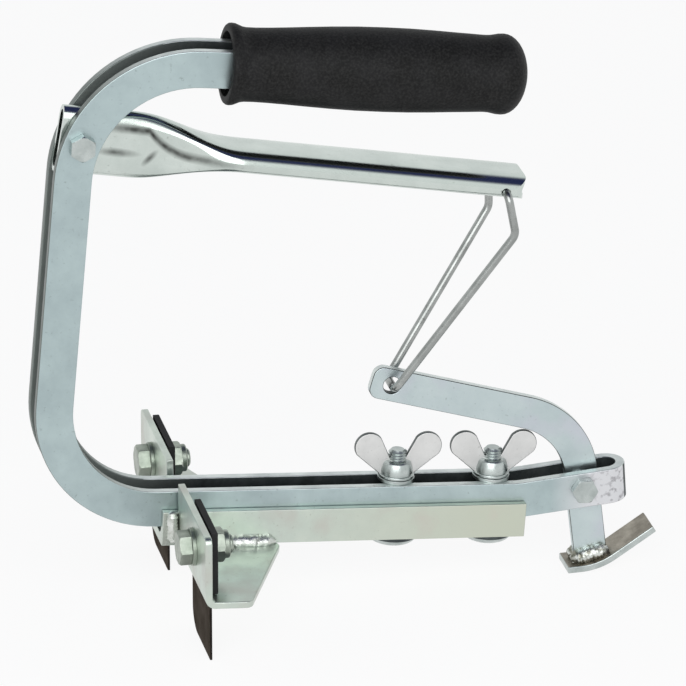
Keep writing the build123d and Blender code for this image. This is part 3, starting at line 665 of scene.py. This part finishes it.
# %% Hand grip
HOLLOW_HIGH, HOLLOW_WIDE, HOLLOW_DEPTH = 8.1, 9.1, 112.6  # mm, the first two from the middle
MOUTH_RADIUS, MOUTH_DEPTH = 13.6, 5.0  # mm
GRIP_SIDES = 96
grip = turned(sleeve, sides=GRIP_SIDES)
hollow = (HOLLOW_HIGH, HOLLOW_WIDE, HOLLOW_DEPTH)
cut(grip, box((-HOLLOW_HIGH, -HOLLOW_WIDE, -1), hollow))
mouth = {"vertices": GRIP_SIDES, "radius": MOUTH_RADIUS * MM, "depth": 2 * MOUTH_DEPTH * MM}
cut(grip, fresh(bpy.ops.mesh.primitive_cylinder_add, **mouth))
smooth(grip, SMOOTH)
hold = next(mount for mount in frame["record"]["mounts"] if mount["name"] == "hand_hold")
hold_axis = Vector(hold["axis"])
put(grip, Vector(hold["pos_m"]) - hold_axis * (GRIP_LENGTH / 2 * MM), hold_axis)
stand_in(grip, "hand_grip")
print(grip.name, len(grip.data.polygons), "faces")

# %% [markdown]
# ## Squeeze lever
# The lever was a round tube. A press closed it upright at the pivot and flat under the fingers. It
# could be cut from a block, but a pressed tube has no edges, so it is drawn as a coarse cage of
# twelve-sided rings, and a Subdivision Surface rounds it. The corners of a ring move in groups:
# crowns, shoulders, sides and middles. In the turn between the two forms the upper sides swell
# first and the middles stay pressed longest, which leaves the ridge and the crease under it that
# such a tube has.

# %% Corners and rings of the squeeze lever
# Corner numbers in a ring, their angle from the crown, where their turn starts, and their half
# width and half height in mm before and after it. A crown has no width to set, and a middle has no
# height.
CORNERS = [
    ((0, 6), 0, 23.5, (1, 14.95), (1, 4.75)),
    ((1, 11), 30, 22.0, (3.4, 13.4), (6.0, 4.95)),
    ((2, 10), 60, 21.0, (5.2, 9.6), (11.3, 4.1)),
    ((3, 9), 90, 35.0, (4.2, 1), (14.3, 1)),
    ((4, 8), 60, 29.0, (5.2, 9.6), (12.4, 4.35)),
    ((5, 7), 30, 23.5, (3.4, 13.4), (7.2, 4.95)),
]
RING_CORNERS = 12
# Places along the lever in mm, from the pivot. The rings are close together in the turn.
TURN_END, LEVER_END = 67.5, 191.1
STATIONS = [-8.5, -5, 0, 6, 12, 18, 22, 26, 30, 34, 38, 42, 46, 50, 54, 58, 63, 68]
STATIONS += [76, 92, 115, 140, 165, 182, 188, LEVER_END]


def corner_size(start, before, after, along):
    """Half width and half height of a group of corners, at a place along the lever."""
    share = min(max((along - start) / (TURN_END - start), 0), 1)
    share = share * share * (3 - 2 * share)
    return [a + (b - a) * share for a, b in zip(before, after)]


print(len(STATIONS), "rings of", RING_CORNERS, "corners")


# %% Squeeze lever cage
def choose(piece, numbers):
    """In edit mode, selects the vertices with these numbers and nothing else."""
    mesh = bmesh.from_edit_mesh(piece.data)
    for vertex in mesh.verts:
        vertex.select = vertex.index in numbers
    mesh.select_flush_mode()
    bmesh.update_edit_mesh(piece.data)


ring = {"vertices": RING_CORNERS, "radius": MM}
lever = fresh(bpy.ops.mesh.primitive_circle_add, **ring)
bpy.ops.object.mode_set(mode="EDIT")
bpy.ops.mesh.select_mode(type="VERT")
for count, along in enumerate(STATIONS):
    if count:
        bpy.ops.mesh.primitive_circle_add(**ring)
    bpy.ops.transform.translate(value=(0, 0, along * MM))
    for numbers, angle, start, before, after in CORNERS:
        choose(lever, [RING_CORNERS * count + number for number in numbers])
        wide, high = corner_size(start, before, after, along)
        wider = wide / sin(radians(angle)) if angle > 0 else 1
        higher = high / cos(radians(angle)) if angle < 90 else 1
        bpy.ops.transform.resize(value=(wider, higher, 1), center_override=(0, 0, along * MM))
bpy.ops.mesh.select_all(action="SELECT")
bpy.ops.mesh.bridge_edge_loops()
close_edit()
print("lever cage:", len(lever.data.vertices), "corners,", len(lever.data.polygons), "faces")

# %% [markdown]
# The cage is rounded first, and a Solidify modifier then gives the tube its wall. The link's hole
# and the rounded end are cut last, because a hole in a coarse cage would be rounded away.

# %% Tools that cut the lever
LEVER_HALF, END_RADIUS = 13.55, 6.0  # mm: half the flat width, and the rounding of its end
CLEAR = 20  # mm, more than the lever's half height and its stub behind the pivot


def cross_hole(radius, high, along):
    """A bar across the lever, as a tool for cutting a hole."""
    place = {"location": (0, high * MM, along * MM), "rotation": (0, pi / 2, 0)}
    bar = {"vertices": 32, "radius": radius * MM, "depth": 100 * MM}
    return fresh(bpy.ops.mesh.primitive_cylinder_add, **bar, **place)


def end_outline():
    """A block as wide as the lever, with the corners of its far end rounded."""
    block = box((-LEVER_HALF, -CLEAR, -CLEAR), (LEVER_HALF, CLEAR, LEVER_END))
    bpy.ops.object.mode_set(mode="EDIT")
    bpy.ops.mesh.select_mode(type="EDGE")
    mesh = bmesh.from_edit_mesh(block.data)
    for edge in mesh.edges:
        first, second = (end.co for end in edge.verts)
        at_end, at_side = min(first.z, second.z) > LEVER_END / 2 * MM, first.x * second.x > 0
        edge.select_set(at_end and at_side)
    bmesh.update_edit_mesh(block.data)
    bpy.ops.mesh.bevel(offset=END_RADIUS * MM, segments=8, affect="EDGES")
    bpy.ops.object.mode_set(mode="OBJECT")
    return block


print("the lever's end is rounded by", END_RADIUS, "mm")

# %% Squeeze lever tube
LINK_ALONG, LINK_DROP, LINK_HOLE = 182.3, 1.5, 2.05  # mm: hole's place, drop and radius
WALL = 2.0  # mm
apply_modifier(lever, "SUBSURF", levels=3, render_levels=3)
apply_modifier(lever, "SOLIDIFY", thickness=WALL * MM, offset=-1, use_even_offset=True)
cut(lever, cross_hole(LINK_HOLE, -LINK_DROP, LINK_ALONG))
cut(lever, end_outline(), "INTERSECT")
smooth(lever, SMOOTH)
pivot, link = (Vector(joints[name]["pos_m"]) for name in ("lever_hinge", "link_hinge"))
slope = atan2(pivot.z - link.z, link.x - pivot.x) - atan2(LINK_DROP, LINK_ALONG)
put(lever, pivot, (cos(slope), 0, -sin(slope)), x_axis=ACROSS)
stand_in(lever, "squeeze_lever")
print("lever slopes", round(degrees(slope), 2), "degrees,", len(lever.data.polygons), "faces")

# %% [markdown]
# ## Painted dark reflections on the pressed tube
# The pressed tube mirrors dark things where it dips, and that dark is painted on: a dark line in
# the crease, which follows a bow down the turn, and two dark spots near the pivot. A Mapping node
# first turns the coordinates into those of the lever, so that X runs along it and Z across its
# height. The bow is then a parabola that runs out level at both ends, and each spot is a stretched
# ball. A soft noise makes all of them uneven.

# %% Painted dark reflection in the crease
CREASE_FOOT, CREASE_TOP = 46, 28.3  # mm along the lever
CREASE_RISE, CREASE_DROP = 9, 0.8  # mm from foot to top, and of the foot below the lever's middle
LINE_EDGE, LINE_CORE = 2.6, 0.4  # mm from the crease where the line ends, and where it is full
FADE_IN, FADE_OUT = (8, 18), (74, 44)  # mm along the lever, from bare to full
tree = zinc_tube.node_tree
turn = {"Location": pivot, "Rotation": (0, slope, 0)}
links = {"Vector": own_place(zinc_tube)}
own = add_node(tree, "ShaderNodeMapping", turn, links, vector_type="TEXTURE").outputs["Vector"]
parts = add_node(tree, "ShaderNodeSeparateXYZ", links={"Vector": own}).outputs
range_used = {"From Min": CREASE_FOOT * MM, "From Max": CREASE_TOP * MM}
bow = add_node(tree, "ShaderNodeMapRange", range_used, {"Value": parts["X"]}).outputs["Result"]
bow = add_node(tree, "ShaderNodeMath", {1: 2}, {0: bow}, operation="POWER").outputs[0]
heights = {1: CREASE_RISE * MM, 2: -CREASE_DROP * MM}
crease = add_node(tree, "ShaderNodeMath", heights, {0: bow}, operation="MULTIPLY_ADD").outputs[0]
gap = add_node(tree, "ShaderNodeMath", links={0: parts["Z"], 1: crease}, operation="SUBTRACT")
gap = add_node(tree, "ShaderNodeMath", links={0: gap.outputs[0]}, operation="ABSOLUTE").outputs[0]
range_used = {"From Min": LINE_EDGE * MM, "From Max": LINE_CORE * MM}
marks = add_node(tree, "ShaderNodeMapRange", range_used, {"Value": gap}).outputs["Result"]
for bare, full in (FADE_IN, FADE_OUT):
    range_used = {"From Min": bare * MM, "From Max": full * MM}
    fade = add_node(tree, "ShaderNodeMapRange", range_used, {"Value": parts["X"]})
    links = {0: marks, 1: fade.outputs["Result"]}
    marks = add_node(tree, "ShaderNodeMath", links=links, operation="MULTIPLY").outputs[0]
print("crease from", CREASE_TOP, "to", CREASE_FOOT, "mm along the lever")

# %% Painted dark spots
# Middle of each ball in mm, its tilt in degrees, and its half length, width and height in mm
SHADE_SPOTS = [((16, 0, -2.6), 0, (11, 40, 2.2)), ((30.2, 0, -3.7), -52, (5.2, 40, 1.8))]
SHADE_NOISE_SIZE = 5  # mm
for centre, tilt, size in SHADE_SPOTS:
    stretch = {"Location": Vector(centre) * MM, "Scale": Vector(size) * MM}
    stretch["Rotation"] = (0, radians(tilt), 0)
    ball = add_node(tree, "ShaderNodeMapping", stretch, {"Vector": own}, vector_type="TEXTURE")
    links = {"Vector": ball.outputs["Vector"]}
    ball = add_node(tree, "ShaderNodeTexGradient", links=links, gradient_type="SPHERICAL")
    links = {0: marks, 1: ball.outputs["Fac"]}
    marks = add_node(tree, "ShaderNodeMath", links=links, operation="MAXIMUM").outputs[0]
pattern = {"Scale": per_mm(SHADE_NOISE_SIZE), "Detail": 2}
links = {"Vector": own_place(zinc_tube)}
shade_noise = add_node(tree, "ShaderNodeTexNoise", pattern, links).outputs["Fac"]
range_used = {"From Min": 0.3, "From Max": 0.7, "To Min": 0.65, "To Max": 1}
uneven = add_node(tree, "ShaderNodeMapRange", range_used, {"Value": shade_noise}).outputs["Result"]
# The crease line and the spots are a painted dark reflection
lay_over(zinc_tube, "#2C2C29", marks, uneven)
print("painted shade marks:", 1 + len(SHADE_SPOTS))

# %% [markdown]
# ## Clamp bolts
# Two round-headed bolts come up from under the channel. Only the head and the threaded tip show.
# The bolt is turned, and its thread is a small diamond that a Screw modifier winds into a ridge.
# The upper part of the head lies in the channel's shade, which is painted on it.

# %% Thread
PITCH = 1.25  # mm


def thread(radius, start, turns):
    """A ridge wound along +Z: a diamond carried round by a Screw modifier, with its ends closed."""
    half = PITCH / 2
    place = {"location": ((radius - half) * MM, 0, start * MM), "rotation": (pi / 2, 0, 0)}
    ridge = fresh(bpy.ops.mesh.primitive_circle_add, vertices=4, radius=half * MM, **place)
    settle(ridge)
    winding = {"iterations": turns, "steps": 32, "render_steps": 32}
    apply_modifier(ridge, "SCREW", screw_offset=PITCH * MM, **winding)
    bpy.ops.object.mode_set(mode="EDIT")
    bpy.ops.mesh.select_all(action="SELECT")
    bpy.ops.mesh.fill_holes(sides=4)
    close_edit()
    return ridge


print("a thread rises by", PITCH, "mm a turn")

# %% Clamp bolts
SEAT = 24.9  # mm from under the bolt's head to under the wing nut
BOLT_RADIUS = 4  # mm
HEAD_DEPTH, HEAD_RADIUS, HEAD_FLAT = 4.9, 11.6, 6.4  # mm, the last for the radius of its flat
HEAD_STEPS = 8
# Band of the head that gets a painted shade
SHADE_BAND = (-2.2, -0.01)  # mm from the head's upper side
SHANK = [(0, BOLT_RADIUS), (28.4, BOLT_RADIUS), (28.8, 3.4), (36.3, 3.4), (37, 2.8)]
THREAD_START, THREAD_TURNS = 28.9, 6  # mm, and turns
SMOOTH_FASTENER = 35  # degrees


def join(*pieces):
    """Joins pieces into the first one."""
    pick(pieces[0])
    for piece in pieces[1:]:
        piece.select_set(True)
    bpy.ops.object.join()
    return pieces[0]


head = []
for step in range(HEAD_STEPS + 1):
    bend = radians(90 * step / HEAD_STEPS)
    head.append((-HEAD_DEPTH * cos(bend), HEAD_FLAT + (HEAD_RADIUS - HEAD_FLAT) * sin(bend)))
for side in ("left", "right"):
    nut = joints[side + "_nut_turn"]
    ridge = thread(BOLT_RADIUS, THREAD_START, THREAD_TURNS)
    bolt = join(turned(head + SHANK, sides=48), ridge)
    smooth(bolt, SMOOTH_FASTENER)
    put(bolt, Vector(nut["pos_m"]) - Vector(nut["axis"]) * (SEAT * MM), nut["axis"])
    stand_in(bolt, side + "_clamp_bolt")
    bolt.data.materials.append(painted_shade_zinc)
    # The band of the head under the channel gets a painted shade
    head_top = Vector(nut["pos_m"]).dot(rise) - SEAT * MM
    for face in bolt.data.polygons:
        height = face.center.dot(rise) - head_top
        face.material_index = int(SHADE_BAND[0] * MM < height < SHADE_BAND[1] * MM)
    print(bolt.name, len(bolt.data.polygons), "faces")

# %% [markdown]
# ## Wing nuts
# A wing nut is cast: a round hub with two flat leaves. A leaf starts as a disc, and the half that
# looks at the hub is drawn down to the hub's foot and made smaller. Then the outline is pulled to
# its thickness and its rim is rounded.

# %% Leaf of a wing nut
LEAF_MIDDLE, LEAF_RADIUS = Vector((12.7, 0, 13.4)), 6.4  # mm
ROOT_MIDDLE, ROOT_RADIUS = Vector((5.5, 0, 4.2)), 3.8  # mm
LEAF_THICKNESS, LEAF_EDGE = 2.2, 0.5  # mm


def leaf():
    """One flat leaf of a wing nut, to the right of its hub."""
    half = Vector((0, LEAF_THICKNESS / 2, 0))
    disc = {"vertices": 64, "radius": LEAF_RADIUS * MM, "fill_type": "NGON"}
    place = {"location": (LEAF_MIDDLE + half) * MM, "rotation": (pi / 2, 0, 0)}
    piece = fresh(bpy.ops.mesh.primitive_circle_add, **disc, **place)
    settle(piece)
    towards = ROOT_MIDDLE - LEAF_MIDDLE
    corners = piece.data.vertices
    low = [at.index for at in corners if (at.co / MM - LEAF_MIDDLE).dot(towards) > 0]
    bpy.ops.object.mode_set(mode="EDIT")
    bpy.ops.mesh.select_mode(type="VERT")
    choose(piece, low)
    bpy.ops.transform.translate(value=towards * MM)
    shrink = ROOT_RADIUS / LEAF_RADIUS
    bpy.ops.transform.resize(value=(shrink, 1, shrink), center_override=ROOT_MIDDLE * MM)
    bpy.ops.mesh.select_all(action="SELECT")
    pull = {"value": (0, -LEAF_THICKNESS * MM, 0)}
    bpy.ops.mesh.extrude_region_move(TRANSFORM_OT_translate=pull)
    close_edit()
    limits = {"limit_method": "ANGLE", "angle_limit": radians(40), "use_clamp_overlap": False}
    apply_modifier(piece, "BEVEL", width=LEAF_EDGE * MM, segments=3, **limits)
    piece.data.materials.append(wing_zinc)
    piece.data.materials.append(painted_rim_shade)
    # The rim gets a painted shade, a thin dark outline
    for face in piece.data.polygons:
        face.material_index = int(abs(face.normal.y) < RIM)
    return piece


print("a leaf is", LEAF_THICKNESS, "mm thick")

# %% Wing nuts
FOOT = [(0.05, 6.4), (0.05, 7.3), (0.3, 7.65), (1.0, 7.7), (1.3, 7.5)]
GROOVE = [(1.5, 6.9), (1.9, 6.85), (2.1, 7.1)]
CONE = [(3.6, 6.95), (5.4, 6.45), (6.4, 6.1), (6.9, 5.7), (7.2, 5.1), (7.25, 4.4)]
for side in ("left", "right"):
    nut = joints[side + "_nut_turn"]
    hub, right_leaf, left_leaf = turned(FOOT + GROOVE + CONE), leaf(), leaf()
    hub.data.materials.append(zinc_fastener)
    left_leaf.rotation_euler.z = pi
    settle(left_leaf)
    wing_nut = join(hub, right_leaf, left_leaf)
    smooth(wing_nut, SMOOTH_FASTENER)
    apply_modifier(wing_nut, "WEIGHTED_NORMAL", **NORMALS)
    put(wing_nut, nut["pos_m"], nut["axis"])
    stand_in(wing_nut, side + "_wing_nut")
    print(wing_nut.name, len(wing_nut.data.polygons), "faces")

# %% [markdown]
# ## Weld beads
# A weld is a row of frozen drops. Each bead is turned with a ripple for every drop, and a Displace
# modifier with a cloud texture makes the drops uneven. A bead lies half inside the corner that it
# fills.

# %% Helpers for weld beads
LUMP_SIZE = 3.0  # mm
DROP = 1.6  # mm
RIPPLE = (0.94, 1.08)  # radius between two drops and on a drop, as a share of the bead's
BEAD_END = 0.4  # radius at both ends, as a share too
SMOOTH_BEAD = 60  # degrees
lumps = bpy.data.textures.new("weld lumps", "CLOUDS")
lumps.noise_scale = LUMP_SIZE * MM


def make_uneven(piece, strength, mid_level):
    """Moves the surface of a bead in and out by lumps of this height in mm."""
    settings = {"texture": lumps, "texture_coords": "LOCAL", "mid_level": mid_level}
    apply_modifier(piece, "DISPLACE", strength=strength * MM, **settings)
    smooth(piece, SMOOTH_BEAD)


def bead(start, end, radius):
    """A rippled bead between two places, with a radius in mm."""
    length = (end - start).length / MM
    steps = round(length / (DROP / 2))
    rings = [(0, BEAD_END * radius)]
    for step in range(1, steps):
        share = step / steps
        swell = min(1, 7 * min(share, 1 - share)) ** 0.5
        rings.append((length * share, radius * swell * RIPPLE[step % 2]))
    piece = turned(rings + [(length, BEAD_END * radius)], sides=24)
    make_uneven(piece, 1.1, 0.5)
    put(piece, start, end - start)
    return piece


print("a drop every", DROP, "mm")

# %% Beads of the jaws
# Where a bead starts and ends along the lower run, across it and above it, and its radius, in mm
BASE_BEAD = (-158.5, 13.2, -19.2), (-135.2, 13.2, -19.2), 3.0
EAR_BEAD = (-179.9, 13.0, -18.6), (-180.8, 13.0, -4.4), 2.5


def on_slide(along, across, high):
    """A place given along the lower run, across it and above it, in mm from the crank's pivot."""
    return crank_pivot + (run * along + ACROSS * across + rise * high) * MM


def jaw_bead(start, end, radius, sign):
    """A bead on the near jaw with sign -1, or on the far one with sign 1."""
    start, end = (on_slide(along, sign * across, high) for along, across, high in (start, end))
    return bead(start, end, radius)


for side, sign in (("near", -1), ("far", 1)):
    beads = join(jaw_bead(*BASE_BEAD, sign), jaw_bead(*EAR_BEAD, sign))
    stand_in(beads, side + "_bracket_welds")
    print(beads.name, len(beads.data.polygons), "faces")

# %% Bead under the crank
# Its solid, made uneven, between two beads that start and end here, in mm
FOOT_START, FOOT_END, FOOT_RADIUS = (99.6, 2.9, 4.6), (116.0, 2.9, 8.4), 3.2
foot_bead = merged_copy("shoe_weld", join_flat=False)
bpy.ops.object.mode_set(mode="EDIT")
bpy.ops.mesh.select_all(action="SELECT")
bpy.ops.mesh.subdivide(number_cuts=2, smoothness=0)
bpy.ops.object.mode_set(mode="OBJECT")
make_uneven(foot_bead, 1.2, 0.45)
for sign in (-1, 1):
    start, end = (Vector((x, sign * y, z)) * MM for x, y, z in (FOOT_START, FOOT_END))
    foot_bead = join(foot_bead, bead(start, end, FOOT_RADIUS))
stand_in(foot_bead, "shoe_weld")
print(foot_bead.name, len(foot_bead.data.polygons), "faces")

# %% [markdown]
# ## Floor
# The gripper was photographed on white. A large white floor stands for that, and it takes a faint
# shadow. To the camera and in mirroring metal most of it is a plain glow, so that it is white
# without more light on the gripper.

# %% Floor
FLOOR_SIZE = 8  # metres
GLOW_SHARE = 0.9
floor = fresh(bpy.ops.mesh.primitive_plane_add, size=FLOOR_SIZE)
floor.name = "floor"
material, tree, shader, _ = new_material("white paper floor")
shader.inputs["Base Color"].default_value = colour("#F2F2F2")
shader.inputs["Roughness"].default_value = 0.9
paths = add_node(tree, "ShaderNodeLightPath").outputs
seen = paths["Is Camera Ray"]
for ray in ("Is Glossy Ray", "Is Transmission Ray"):
    links = {0: seen, 1: paths[ray]}
    seen = add_node(tree, "ShaderNodeMath", links=links, operation="MAXIMUM").outputs[0]
share = add_node(tree, "ShaderNodeMath", {1: GLOW_SHARE}, {0: seen}, operation="MULTIPLY")
glow = add_node(tree, "ShaderNodeEmission", {"Color": colour("#FFFFFF"), "Strength": 1})
links = {0: share.outputs[0], 1: shader.outputs[0], 2: glow.outputs[0]}
mixed = add_node(tree, "ShaderNodeMixShader", links=links)
tree.links.new(mixed.outputs[0], tree.nodes["Material Output"].inputs["Surface"])
floor.data.materials.append(material)
print("floor", floor.dimensions[:2])

# %% [markdown]
# ## Light
# One large soft lamp in front and a pale sky that darkens overhead give the metal something to
# mirror: light, then dark, then light again.

# %% Sky
SKY_PALE, SKY_DARK = "#F6F8F8", "#2C3258"
world = bpy.data.worlds.new("studio")
bpy.context.scene.world = world
world.use_nodes = True
tree = world.node_tree
tree.nodes.clear()
direction = add_node(tree, "ShaderNodeTexCoord").outputs["Generated"]
parts = add_node(tree, "ShaderNodeSeparateXYZ", links={"Vector": direction}).outputs
overhead = add_node(
    tree,
    "ShaderNodeMapRange",
    {"From Min": 0.55, "From Max": 0.84},
    {"Value": parts["Z"]},
    interpolation_type="SMOOTHSTEP",
).outputs["Result"]
two = {"A": colour(SKY_PALE), "B": colour(SKY_DARK)}
sky = add_node(tree, "ShaderNodeMix", two, {"Factor": overhead}, data_type="RGBA").outputs["Result"]
background = add_node(tree, "ShaderNodeBackground", {"Strength": 1}, {"Color": sky})
add_node(tree, "ShaderNodeOutputWorld", links={"Surface": background.outputs[0]})
print("sky from", SKY_PALE, "to", SKY_DARK)


# %% Lamp
def from_side(azimuth, elevation):
    """Direction from the object towards a place round it. Azimuth 0 is in front, on the -Y side."""
    a, e = radians(azimuth), radians(elevation)
    return Vector((sin(a) * cos(e), -cos(a) * cos(e), sin(e)))


LAMP_SIDE = from_side(-16, 31)
LAMP_DISTANCE, LAMP_SIZE, LAMP_POWER = 1.5, 1.5, 15  # metres, metres, watts
lamp_place = (cad_low + cad_high) / 2 + LAMP_SIDE * LAMP_DISTANCE
bpy.ops.object.light_add(type="AREA", location=lamp_place)
lamp = bpy.context.object
lamp.name = "front softbox"
lamp.rotation_euler = LAMP_SIDE.to_track_quat("Z", "Y").to_euler()
lamp.data.size = LAMP_SIZE
lamp.data.energy = LAMP_POWER
print("lamp:", lamp.name)

# %% [markdown]
# ## Camera
# The camera stands a little to the left and looks down, as in the photograph, from far enough for
# nearly parallel lines. It is rolled by a degree. Its aim and its lens come from the scale and the
# place of the gripper in the picture.

# %% Camera
TURN, RISE, ROLL = -13.0, 22.32, 0.98  # degrees
DISTANCE = 2.5  # metres
PIXELS_PER_MM = 2.369  # at the aim point
CENTRE = Vector((0, 0, 128)) * MM
SHIFT = (6.667, -35.142)  # pixels from the picture's middle to the projected centre
PICTURE = 686  # pixels
SENSOR = 36  # mm
back = from_side(TURN, RISE)
level = Vector((cos(radians(TURN)), sin(radians(TURN)), 0))
upward = back.cross(level)
right = level * cos(radians(ROLL)) + upward * sin(radians(ROLL))
up = upward * cos(radians(ROLL)) - level * sin(radians(ROLL))
aim = CENTRE - right * (SHIFT[0] / PIXELS_PER_MM * MM) + up * (SHIFT[1] / PIXELS_PER_MM * MM)
bpy.ops.object.camera_add()
camera = bpy.context.object
view = Matrix((right, up, back)).transposed().to_4x4()
camera.matrix_world = Matrix.Translation(aim + back * DISTANCE) @ view
camera.data.sensor_width = SENSOR
camera.data.lens = PIXELS_PER_MM / MM * DISTANCE / PICTURE * SENSOR
bpy.context.scene.camera = camera
bpy.context.scene.view_settings.view_transform = "Standard"
print("lens", round(camera.data.lens, 1), "mm")
